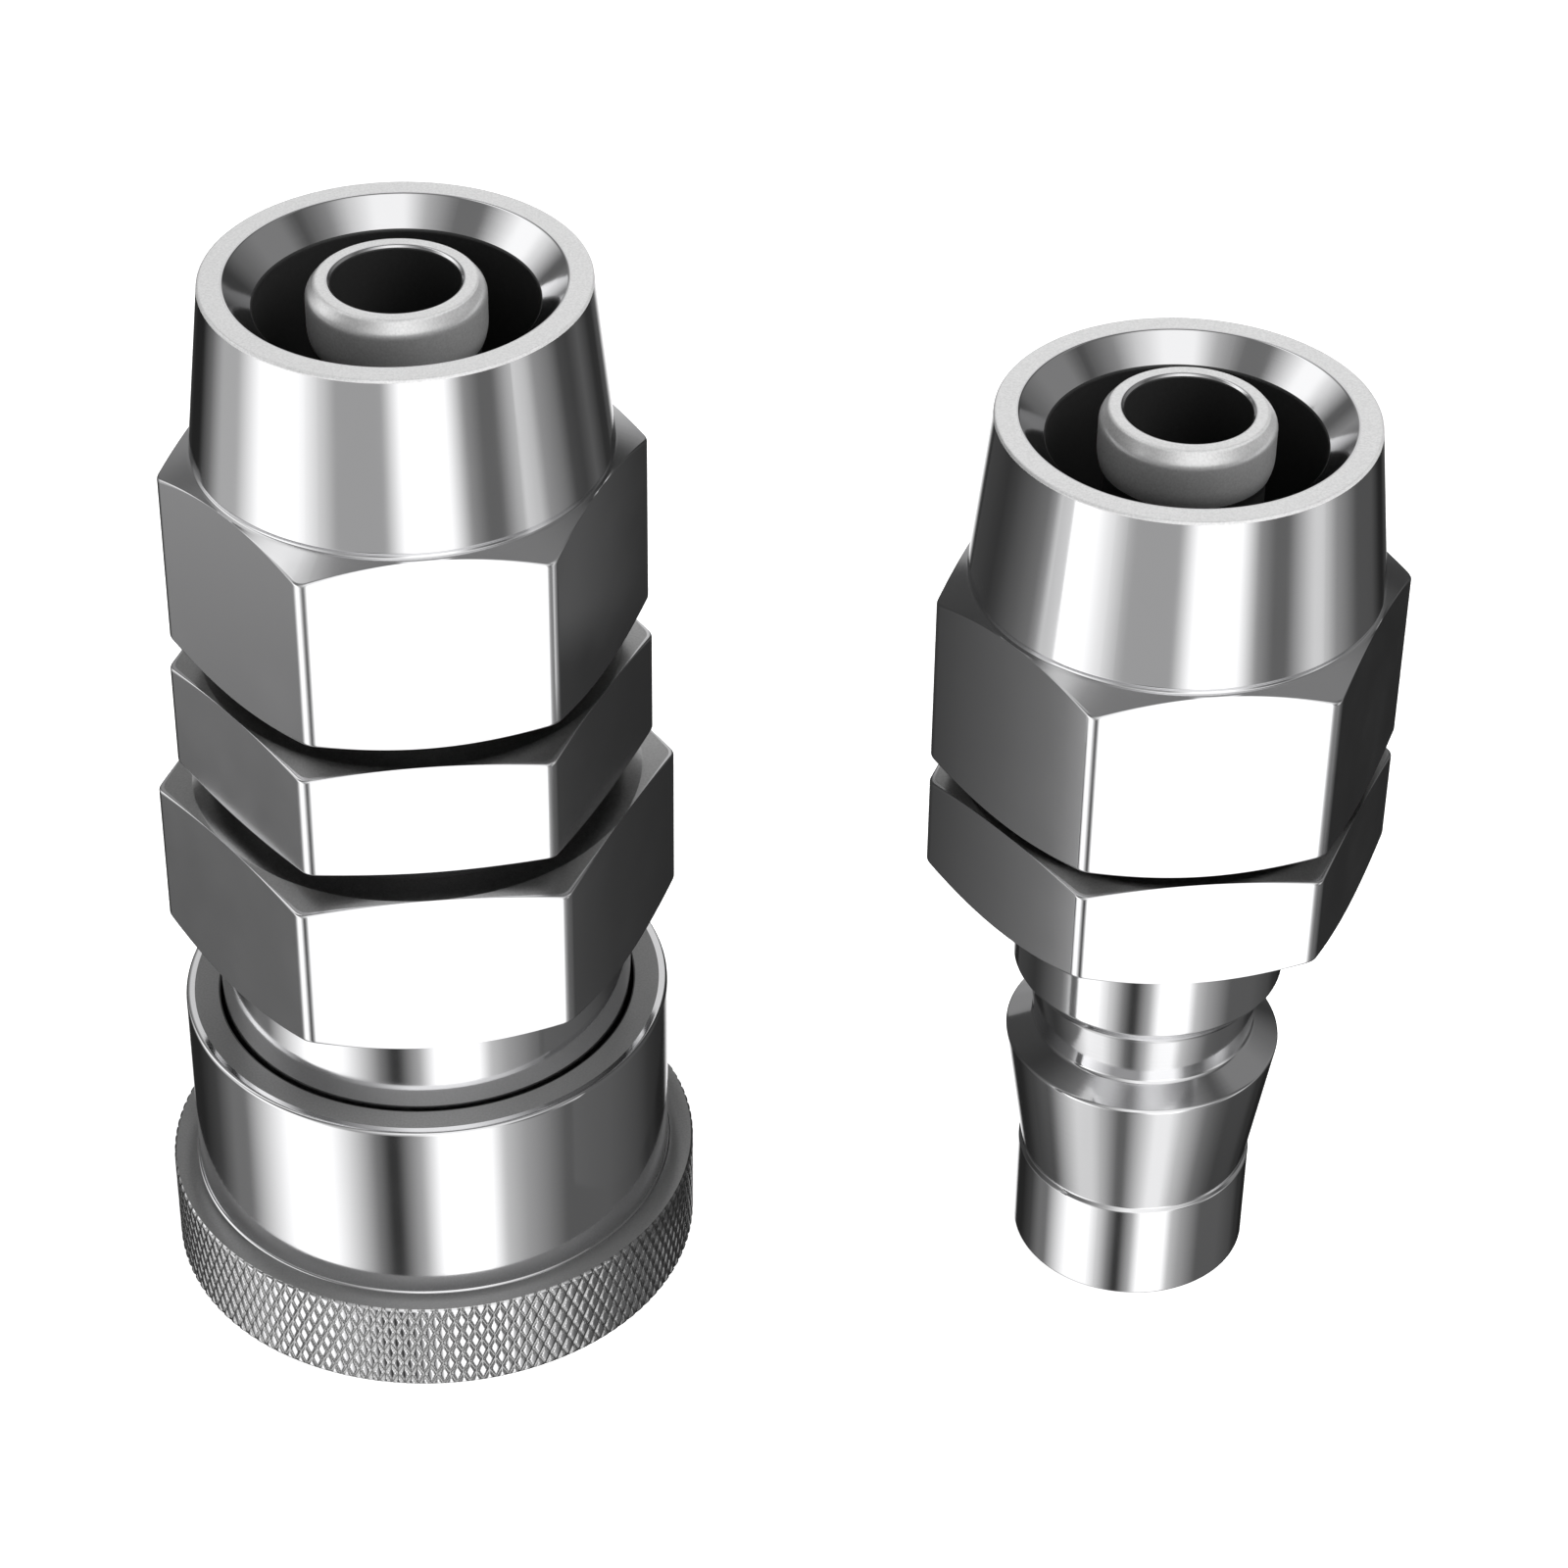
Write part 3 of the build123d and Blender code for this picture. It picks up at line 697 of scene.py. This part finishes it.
# %% Sizes of the sleeve
SLEEVE_H = 15.55
SLEEVE_R = 12.15
SLEEVE_BORE_R = 10.55
SPRING_SEAT_Z = 6.0
LAND_R = 9.28
CONE_TOP_Z = 5.064
CONE_FOOT_R = 10.085
POCKET_TOP_Z = 1.75
POCKET_R = 11.0
POCKET_CHAMFER = 0.4
BAND_R = 13.45
BAND_H = 5.1
BAND_BORE_R = 11.79
BURIED_R = 11.8
BURIED_Z = 4.8
ROOT_ROUND = 0.18
ROOT_SINK = 0.02
TOP_ROUND = 0.18
BRIGHT_SPAN = 2.6
SLEEVE_LIP_R = 10.43
SLEEVE_LIP_H = 0.5

# %% Make the sleeve
corners = [
    (POCKET_R + POCKET_CHAMFER, 0.0, SLIGHT, FACED),
    (BURIED_R, 0.0, HAIR, FACED),
    (BURIED_R, BURIED_Z, HAIR, FACED),
    (SLEEVE_R + BRIGHT_SPAN * ROOT_ROUND, BAND_H - ROOT_SINK, HAIR, POLISHED),
    (SLEEVE_R, BAND_H - HAIR, ROOT_ROUND, POLISHED),
    (SLEEVE_R, SLEEVE_H, TOP_ROUND, POLISHED),
    (SLEEVE_R - BRIGHT_SPAN * TOP_ROUND, SLEEVE_H, HAIR, FACED),
    (SLEEVE_LIP_R, SLEEVE_H, BROKEN, BORE_SHADE),
    (SLEEVE_LIP_R, SLEEVE_H - SLEEVE_LIP_H, CRISP, BORE_SHADE),
    (SLEEVE_BORE_R, SLEEVE_H - SLEEVE_LIP_H, CRISP, BORE_SHADE),
    (SLEEVE_BORE_R, SPRING_SEAT_Z, SLIGHT, BORE_SHADE),
    (LAND_R, SPRING_SEAT_Z, SLIGHT, BORE_SHADE),
    (LAND_R, CONE_TOP_Z, SLIGHT, MILLED),
    (CONE_FOOT_R, POCKET_TOP_Z, SLIGHT, MILLED),
    (POCKET_R, POCKET_TOP_Z, SLIGHT, MILLED),
    (POCKET_R, POCKET_CHAMFER, SLIGHT, MILLED),
]
sleeve = turned_piece("sleeve_visual", SOCKET_X, round_azimuths(), corners, finishes)
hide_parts("release_sleeve")
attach(sleeve, "sleeve")

# %% [markdown]
# ## The knurl
# A knurling tool presses two sets of grooves into the band, one slanting each way, and leaves diamonds with
# nearly flat tops between them. Here the band's radius is a height field over the angle and the height.
# Each set of grooves gives a ramp from its floor to the top, and the lower of the two ramps wins. The tops
# are crowned a little, so that each diamond catches the light by itself.

# %% Sizes of the knurl
# KNURL_RISE is how far up a groove climbs while it passes one diamond. GROOVE_FLOOR and GROOVE_EDGE are
# where a groove's floor and side end, as shares of the distance between two grooves. A face is polished
# where all four of its corners lie above ON_LAND on the ramps, and the other faces carry painted shade.
KNURLS = 128
KNURL_RISE = 1.415
KNURL_DEPTH = 0.08
KNURL_CROWN = 0.016
GROOVE_FLOOR = 0.02
GROOVE_EDGE = 0.13
BAND_BEVEL = 0.1
EDGE_STEP = 0.02
COLUMNS_PER_KNURL = 10
KNURL_ROWS = 62
ON_LAND = 0.99


# %% Make the knurled band
def groove_ramp(phase):
    """0 on a groove's floor and 1 on the lands, with a straight side between, from the grooves' phase."""
    away = np.abs(phase - np.round(phase))
    return np.clip((away - GROOVE_FLOOR) / (GROOVE_EDGE - GROOVE_FLOOR), 0, 1)


def land_crown(phase):
    """How far a land's face falls from its middle: the crown times the square of the distance from it."""
    away = np.abs(phase - np.round(phase))
    return KNURL_CROWN * (1 - 2 * away) ** 2


def knurled_band():
    """A closed ring whose outer side is the height field, with small bevels at its ends.

    The radius is the band's, less the groove's depth and the fall of both sets of lands.
    """
    azimuth = round_azimuths(COLUMNS_PER_KNURL * KNURLS)
    rows = np.concatenate([[0.0], np.linspace(EDGE_STEP, BAND_H - EDGE_STEP, KNURL_ROWS), [BAND_H]])
    around = azimuth * KNURLS / (2 * np.pi)
    up = rows / KNURL_RISE
    leftward, rightward = around[None, :] + up[:, None], around[None, :] - up[:, None]
    share = np.minimum(groove_ramp(leftward), groove_ramp(rightward))
    side = BAND_R - KNURL_DEPTH * (1 - share) - land_crown(leftward) - land_crown(rightward)
    bevel = BAND_R - BAND_BEVEL + np.minimum(rows, BAND_H - rows)
    side = np.minimum(side, bevel[:, None])
    ones = np.ones_like(azimuth)
    inner = BAND_BORE_R * ones
    r = np.vstack([inner, side[0] - EDGE_STEP, side, side[-1] - EDGE_STEP, inner])
    z = np.concatenate([[0.0, 0.0], rows, [BAND_H, BAND_H]])
    grid = np.stack([SOCKET_X + r * np.cos(azimuth), r * np.sin(azimuth), z[:, None] * ones], axis=-1)
    own = np.full(r.shape, FACED)
    lowest = np.minimum(share[:-1], share[1:])
    lowest = np.minimum(lowest, np.roll(lowest, -1, axis=1))
    side_faces = slice(2, 2 + len(lowest))
    # Faces in the grooves get the darker finish, which is painted shade.
    own[side_faces] = np.where(lowest > ON_LAND, POLISHED, GROOVE_SHADE)
    return closed_grid("knurled_band", grid, own, finishes)


knurl = knurled_band()
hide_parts("release_sleeve")
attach(knurl, "sleeve")

# %% [markdown]
# ## Plug body
# From the floor up: the nose that goes into the packing, a long taper, the flange that the balls catch, the
# ball groove, the neck, and the hexagon with its hose tail.

# %% Sizes of the plug body
PLUG_FLATS = 20.0
PLUG_TURN = 7.55
PLUG_HEX_H = 5.91
PLUG_LOW_DROP = 0.8
PLUG_HIGH_DROP = 0.4
NOSE_R = 5.95
NOSE_H = 5.65
NOSE_EDGE = 0.15
WAIST_R = 5.8
WAIST_Z = 5.8
FLANGE_R = 6.93
FLANGE_Z = 13.18
GROOVE_R = 5.55
GROOVE_Z = 14.05
GROOVE_ROUND = 0.15
GROOVE_TOP_R = 5.88
GROOVE_TOP_Z = 17.07
GROOVE_TOP_ROUND = 0.3
PLUG_NECK_R = 6.75
PLUG_NECK_Z = 17.94
PLUG_BORE_R = 4.2
PLUG_BORE_TAPER = 2.0

# %% Make the plug
plug_top = high("plug_body")[2] - TAIL_H
plug_base = plug_top - PLUG_HEX_H
azimuth = hex_azimuths(PLUG_FLATS, PLUG_TURN)
corners = [
    (PLUG_BORE_R, 0.0, EASED, FACED),
    (NOSE_R - NOSE_EDGE, 0.0, SLIGHT, POLISHED),
    (NOSE_R, NOSE_EDGE, SLIGHT, POLISHED),
    (NOSE_R, NOSE_H, BROKEN, POLISHED),
    (WAIST_R, WAIST_Z, BROKEN, POLISHED),
    (FLANGE_R, FLANGE_Z, TURNED, POLISHED),
    (GROOVE_R, GROOVE_Z, GROOVE_ROUND, POLISHED),
    (GROOVE_TOP_R, GROOVE_TOP_Z, GROOVE_TOP_ROUND, POLISHED),
    (PLUG_NECK_R, PLUG_NECK_Z, TURNED, POLISHED),
    (PLUG_NECK_R, plug_base, TURNED, MILLED),
]
# The upper cone faces the nut's hexagon and carries painted shade.
corners += hexagon(
    azimuth, PLUG_FLATS, PLUG_TURN, plug_base, plug_top, PLUG_LOW_DROP, PLUG_HIGH_DROP, MILLED, CONE_SHADE
)
corners += hose_tail(plug_top)
corners += [
    (STEM_BORE_R, plug_base + PLUG_BORE_TAPER, EASED, BORE_SHADE),
    (PLUG_BORE_R, plug_base, EASED, BORE_SHADE),
]
plug = turned_piece("plug_visual", PLUG_X, azimuth, corners, finishes)
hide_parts("plug_body")
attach(plug, "coupling")

# %% [markdown]
# ## Pieces that stay as they are
# The washer, springs, balls, stop ring, packing and valve already have their true shapes. They get their
# own finishes: black rubber, drawn spring wire, ground balls and turned brass.


# %% Finish the inner pieces
def rubber_finish():
    """Black nitrile: not quite black, with a dull sheen and a fine mould grain."""
    black = (0.02, 0.02, 0.021, 1)
    material, nodes, links, shader = new_material("black nitrile", black, metallic=0.0, roughness=0.6)
    grain = add_noise(nodes, links, scale=5000.0, detail=3.0)
    add_bump(nodes, links, shader, grain.outputs["Fac"], strength=0.3, distance=0.00003)
    return material


def wire_finish():
    """Drawn wire: bright steel, slightly rough, with shallow scratches."""
    steel = (0.55, 0.55, 0.57, 1)
    material, nodes, links, shader = new_material("drawn wire", steel, metallic=1.0, roughness=0.25)
    scratches = add_noise(nodes, links, scale=2500.0, detail=3.0, stretch=(1, 1, 4))
    add_bump(nodes, links, shader, scratches.outputs["Fac"], strength=0.2)
    return material


def ball_finish():
    """Ground and polished bearing steel."""
    bright = (0.8, 0.8, 0.82, 1)
    material, nodes, links, shader = new_material("ball steel", bright, metallic=1.0, roughness=0.05)
    gloss = add_noise(nodes, links, scale=900.0, detail=2.0)
    uneven = ramp(nodes, links, gloss.outputs["Fac"], [(0.3, 0.04), (0.7, 0.08)])
    links.new(uneven.outputs["Color"], shader.inputs["Roughness"])
    return material


def brass_finish():
    """Turned brass with rings from the tool."""
    brass = (0.72, 0.53, 0.26, 1)
    material, nodes, links, shader = new_material("turned brass", brass, metallic=1.0, roughness=0.25)
    rings = add_noise(nodes, links, scale=1.0, detail=2.0, stretch=(60, 60, 7000))
    add_bump(nodes, links, shader, rings.outputs["Fac"], strength=0.2)
    return material


def dress(nodes_named, material):
    """Give one finish to the CAD pieces named."""
    for name in nodes_named:
        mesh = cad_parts[name].data
        mesh.materials.clear()
        mesh.materials.append(material)


dress(["packing_ring", "valve_seal", "adapter_washer"], rubber_finish())
dress(["sleeve_spring", "valve_spring", "stop_ring"], wire_finish())
dress([f"locking_ball_{n + 1}" for n in range(BALL_COUNT)], ball_finish())
dress(["valve_poppet"], brass_finish())

# %% [markdown]
# The two coil springs are held at their upper ends and pushed at their lower ends. Each one only gets a
# mesh of its own here, and its shape stays as the frame gives it.


def shorten_with(node):
    """Give a spring a mesh of its own, with its shape left as it is."""
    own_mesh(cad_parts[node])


shorten_with("sleeve_spring")
shorten_with("valve_spring")

# %% [markdown]
# ## The room
# Polished metal shows its room more than itself. The room here is a world of soft light panels that stand
# round the part in four rings, one above the other, with a plain ceiling. Two bright windows stand in front
# and one behind, with greys and dark gaps between them. The floor is plain and pale. It is hidden from
# reflections, so the metal sees the panels below the horizon as well, as it would on a small glass table.

# %% Panels round the part
# A panel is (where it starts, where it ends, its grey), with the angles in degrees round the part. Light
# fades from each panel to the next.
DEEP_RING = [
    (-157, -141, 0.80), (-112, -105, 0.36), (-73, -59, 0.92), (-45, -44, 0.72), (-20, -19, 0.42),
    (8, 38, 0.15), (60, 72, 0.28), (82, 98, 0.85), (107, 110, 0.26), (127, 145, 0.28), (157, 168, 0.18),
]
LOW_RING = [
    (-156, -137, 1.05), (-112, -111, 0.42), (-106, -102, 0.20), (-92, -91, 0.62), (-80, -59, 1.08),
    (-50, -49, 0.72), (-39, -38, 0.58), (-18, 8, 0.33), (30, 32, 0.27), (43, 50, 0.18), (58, 72, 0.12),
    (83, 98, 0.95), (109, 130, 0.14), (148, 149, 0.24), (164, 174, 0.42),
]
MID_RING = [
    (-164, -145, 1.05), (-120, -95, 0.60), (-84, -62, 1.05), (-50, -49, 0.52), (-41, -33, 0.37),
    (-16, -10, 0.80), (2, 4, 0.52), (20, 38, 0.30), (51, 57, 0.13), (66, 71, 0.30), (82, 98, 0.95),
    (108, 112, 0.2), (122, 136, 0.13), (148, 149, 0.38), (162, 176, 0.65),
]
HIGH_RING = [
    (-162, -143, 0.41), (-119, -118, 0.66), (-96, -66, 0.95), (-45, -44, 0.80), (-25, -24, 0.50),
    (-4, -2, 0.30), (9, 28, 0.47), (43, 44, 0.38), (56, 64, 0.22), (78, 98, 0.80), (114, 122, 0.5),
    (132, 137, 0.34), (152, 153, 0.84), (160, 172, 0.98),
]
CEILING = 0.45
METAL_SHARE = 0.86


def to_light(shown):
    """The light that polished metal must see to be shown as this grey on a screen.

    The power undoes the screen's own curve, and the metal gives back only its share of the light.
    """
    linear = ((shown + 0.055) / 1.055) ** 2.4
    return linear / METAL_SHARE


def ring_stops(panels):
    """Ramp stops for a ring of panels. Behind, at 180 degrees, the last panel fades into the first."""
    last_end, last_light = panels[-1][1], to_light(panels[-1][2])
    first_start, first_light = panels[0][0] + 360, to_light(panels[0][2])
    share = (180 - last_end) / (first_start - last_end)
    behind = last_light + share * (first_light - last_light)
    stops = [(0.0, behind)]
    for start, end, grey in panels:
        stops += [((angle + 180) / 360, to_light(grey)) for angle in (start, end)]
    return stops + [(1.0, behind)]


# %% Build the room
# Each fade is where one ring gives way to the next above it, as the sine of the elevation.
RING_FADES = [(-0.83, -0.72), (-0.60, -0.46), (-0.15, 0.12), (0.90, 0.95)]


def build_room():
    """A world whose light changes with the direction. The camera itself sees plain white."""
    world = bpy.data.worlds.new("studio")
    bpy.context.scene.world = world
    world.use_nodes = True
    nodes, links = world.node_tree.nodes, world.node_tree.links
    nodes.clear()
    place = nodes.new("ShaderNodeTexCoord")
    split = nodes.new("ShaderNodeSeparateXYZ")
    links.new(place.outputs["Generated"], split.inputs["Vector"])
    angle = nodes.new("ShaderNodeMath")
    angle.operation = "ARCTAN2"
    links.new(split.outputs["Y"], angle.inputs[0])
    links.new(split.outputs["X"], angle.inputs[1])
    around = nodes.new("ShaderNodeMapRange")
    around.inputs["From Min"].default_value = -np.pi
    around.inputs["From Max"].default_value = np.pi
    links.new(angle.outputs["Value"], around.inputs["Value"])
    rings = [
        ramp(nodes, links, around.outputs["Result"], ring_stops(panels)).outputs["Color"]
        for panels in (DEEP_RING, LOW_RING, MID_RING, HIGH_RING)
    ]
    seen_light = rings[0]
    for level, (start, end) in enumerate(RING_FADES, start=1):
        height = nodes.new("ShaderNodeMapRange")
        height.inputs["From Min"].default_value = start
        height.inputs["From Max"].default_value = end
        links.new(split.outputs["Z"], height.inputs["Value"])
        mix = nodes.new("ShaderNodeMix")
        mix.data_type = "RGBA"
        links.new(height.outputs["Result"], mix.inputs["Factor"])
        links.new(seen_light, mix.inputs["A"])
        if level < len(rings):
            links.new(rings[level], mix.inputs["B"])
        else:
            mix.inputs["B"].default_value = opaque(to_light(CEILING))
        seen_light = mix.outputs["Result"]
    room = nodes.new("ShaderNodeBackground")
    links.new(seen_light, room.inputs["Color"])
    backdrop = nodes.new("ShaderNodeBackground")
    backdrop.inputs["Color"].default_value = opaque(1)
    seen = nodes.new("ShaderNodeLightPath")
    choose = nodes.new("ShaderNodeMixShader")
    links.new(seen.outputs["Is Camera Ray"], choose.inputs["Fac"])
    links.new(room.outputs["Background"], choose.inputs[1])
    links.new(backdrop.outputs["Background"], choose.inputs[2])
    out = nodes.new("ShaderNodeOutputWorld")
    links.new(choose.outputs["Shader"], out.inputs["Surface"])


build_room()
bpy.context.scene.view_settings.view_transform = "Standard"

# %% [markdown]
# Satin faces, such as the rims, show light more than reflections. One large soft lamp above and to the
# right gives them their brightness. Reflections don't show it, so the polished faces keep the panels alone.

# %% Soft lamp
# Its place and its side are in metres.
LAMP_PLACE = (0.35, -0.05, 0.5)
LAMP_SIDE = 0.4
LAMP_POWER = 3.0


def hang_lamp():
    """A square area lamp that faces the part's middle."""
    light = bpy.data.lights.new("soft lamp", "AREA")
    light.shape = "SQUARE"
    light.size = LAMP_SIDE
    light.energy = LAMP_POWER
    lamp = bpy.data.objects.new("soft_lamp", light)
    lamp.location = LAMP_PLACE
    lamp.rotation_euler = Vector(LAMP_PLACE).to_track_quat("Z", "Y").to_euler()
    lamp.visible_glossy = False
    bpy.context.scene.collection.objects.link(lamp)


hang_lamp()

# %% [markdown]
# The halves stand close together, and each would show the other as a dark shape in its polished side. In
# the photograph their facing sides are calm. Two studio cards, back to back between them, do the same here.
# Only reflections see the cards.

# %% Cards between the halves
# A card's greys are (place along Y, grey). Above CARD_CHANGE the socket's card has greys of its own.
CARD_X = 2.0
CARD_GAP = 0.5
CARD_TOP = 62.0
SOCKET_CARD_LOW = [
    (-12.0, 0.36), (-6.0, 0.33), (-3.0, 0.30), (0.0, 0.26), (3.0, 0.20), (7.0, 0.17), (16.0, 0.15),
]
SOCKET_CARD_HIGH = [
    (-12.0, 0.80), (-9.2, 0.73), (-7.5, 0.55), (-4.2, 0.44), (-2.0, 0.27), (0.5, 0.24), (4.0, 0.33),
    (7.0, 0.26), (10.0, 0.18), (16.0, 0.18),
]
CARD_CHANGE = (29.0, 32.0)
PLUG_CARD = [
    (-9.5, 0.80), (-8.3, 0.55), (-7.0, 0.42), (-4.0, 0.34), (-0.3, 0.24), (2.0, 0.20), (7.0, 0.23),
    (16.0, 0.25),
]


def card_greys(nodes, links, along, greys):
    """A ramp over a card's greys, from the place along Y."""
    first, last = greys[0][0], greys[-1][0]
    spread = nodes.new("ShaderNodeMapRange")
    spread.inputs["From Min"].default_value = first * MM
    spread.inputs["From Max"].default_value = last * MM
    links.new(along, spread.inputs["Value"])
    stops = [((y - first) / (last - first), to_light(grey)) for y, grey in greys]
    return ramp(nodes, links, spread.outputs["Result"], stops).outputs["Color"]


def stand_card(name, x, low_greys, high_greys):
    """An upright card across X that glows with its greys and that only reflections see."""
    near, far, top = low_greys[0][0], low_greys[-1][0], CARD_TOP
    corners = np.array([(x, near, 0), (x, far, 0), (x, far, top), (x, near, top)]) * MM
    mesh = bpy.data.meshes.new(name)
    mesh.from_pydata(corners.tolist(), [], [(0, 1, 2, 3)])
    card = bpy.data.objects.new(name, mesh)
    bpy.context.scene.collection.objects.link(card)
    material = bpy.data.materials.new(name)
    material.use_nodes = True
    nodes, links = material.node_tree.nodes, material.node_tree.links
    nodes.clear()
    place = nodes.new("ShaderNodeTexCoord")
    split = nodes.new("ShaderNodeSeparateXYZ")
    links.new(place.outputs["Object"], split.inputs["Vector"])
    height = nodes.new("ShaderNodeMapRange")
    height.inputs["From Min"].default_value = CARD_CHANGE[0] * MM
    height.inputs["From Max"].default_value = CARD_CHANGE[1] * MM
    links.new(split.outputs["Z"], height.inputs["Value"])
    mix = nodes.new("ShaderNodeMix")
    mix.data_type = "RGBA"
    links.new(height.outputs["Result"], mix.inputs["Factor"])
    links.new(card_greys(nodes, links, split.outputs["Y"], low_greys), mix.inputs["A"])
    links.new(card_greys(nodes, links, split.outputs["Y"], high_greys), mix.inputs["B"])
    glow = nodes.new("ShaderNodeEmission")
    links.new(mix.outputs["Result"], glow.inputs["Color"])
    out = nodes.new("ShaderNodeOutputMaterial")
    links.new(glow.outputs["Emission"], out.inputs["Surface"])
    mesh.materials.append(material)
    card.visible_camera = False
    card.visible_diffuse = False
    card.visible_transmission = False
    card.visible_shadow = False


stand_card("socket_card", CARD_X - CARD_GAP / 2, SOCKET_CARD_LOW, SOCKET_CARD_HIGH)
stand_card("plug_card", CARD_X + CARD_GAP / 2, PLUG_CARD, PLUG_CARD)

# %% Floor
# Its half width is in metres.
FLOOR_HALF = 3.0
FLOOR_GLOW = 0.75


def build_floor():
    """A large pale floor that glows a little, so that it reads as white with a soft contact shadow."""
    mesh = bpy.data.meshes.new("floor")
    half = FLOOR_HALF
    corners = [(-half, -half, 0), (half, -half, 0), (half, half, 0), (-half, half, 0)]
    mesh.from_pydata(corners, [], [(0, 1, 2, 3)])
    floor = bpy.data.objects.new("floor", mesh)
    bpy.context.scene.collection.objects.link(floor)
    material, _, _, shader = new_material("pale floor", opaque(0.9), metallic=0.0, roughness=0.9)
    shader.inputs["Emission Color"].default_value = opaque(1)
    shader.inputs["Emission Strength"].default_value = FLOOR_GLOW
    mesh.materials.append(material)
    floor.visible_glossy = False


build_floor()

# %% [markdown]
# ## Camera
# The photograph looks down on the pair by 36 degrees from in front of it, with a long lens. The camera's
# place was worked out from the rims, hexagon corners and heights of both halves.

# %% Place the camera
CAMERA_FROM_SOCKET = np.array([18.394, -175.640, 157.728])
PITCH_DOWN = 36.442
YAW = -0.154
ROLL = 0.843
FOCAL_PIXELS = 4545.9
PHOTO_PIXELS = 1600
SENSOR_MM = 36.0
NEAREST = 10.0


def place_camera():
    """Turn the camera with its axes written as a matrix: right, up, and back."""
    pitch, yaw, roll = np.radians([PITCH_DOWN, YAW, ROLL])
    forward = np.array([np.sin(yaw) * np.cos(pitch), np.cos(yaw) * np.cos(pitch), -np.sin(pitch)])
    level = np.array([np.cos(yaw), -np.sin(yaw), 0.0])
    upright = np.cross(level, forward)
    right = level * np.cos(roll) + upright * np.sin(roll)
    up = upright * np.cos(roll) - level * np.sin(roll)
    matrix = np.eye(4)
    matrix[:3, 0], matrix[:3, 1], matrix[:3, 2] = right, up, -forward
    matrix[:3, 3] = (CAMERA_FROM_SOCKET + [SOCKET_X, 0, 0]) * MM
    data = bpy.data.cameras.new("camera")
    data.sensor_width = SENSOR_MM
    data.lens = FOCAL_PIXELS * SENSOR_MM / PHOTO_PIXELS
    data.clip_start = NEAREST * MM
    camera = bpy.data.objects.new("camera", data)
    bpy.context.scene.collection.objects.link(camera)
    camera.matrix_world = matrix.T.tolist()
    bpy.context.scene.camera = camera


place_camera()
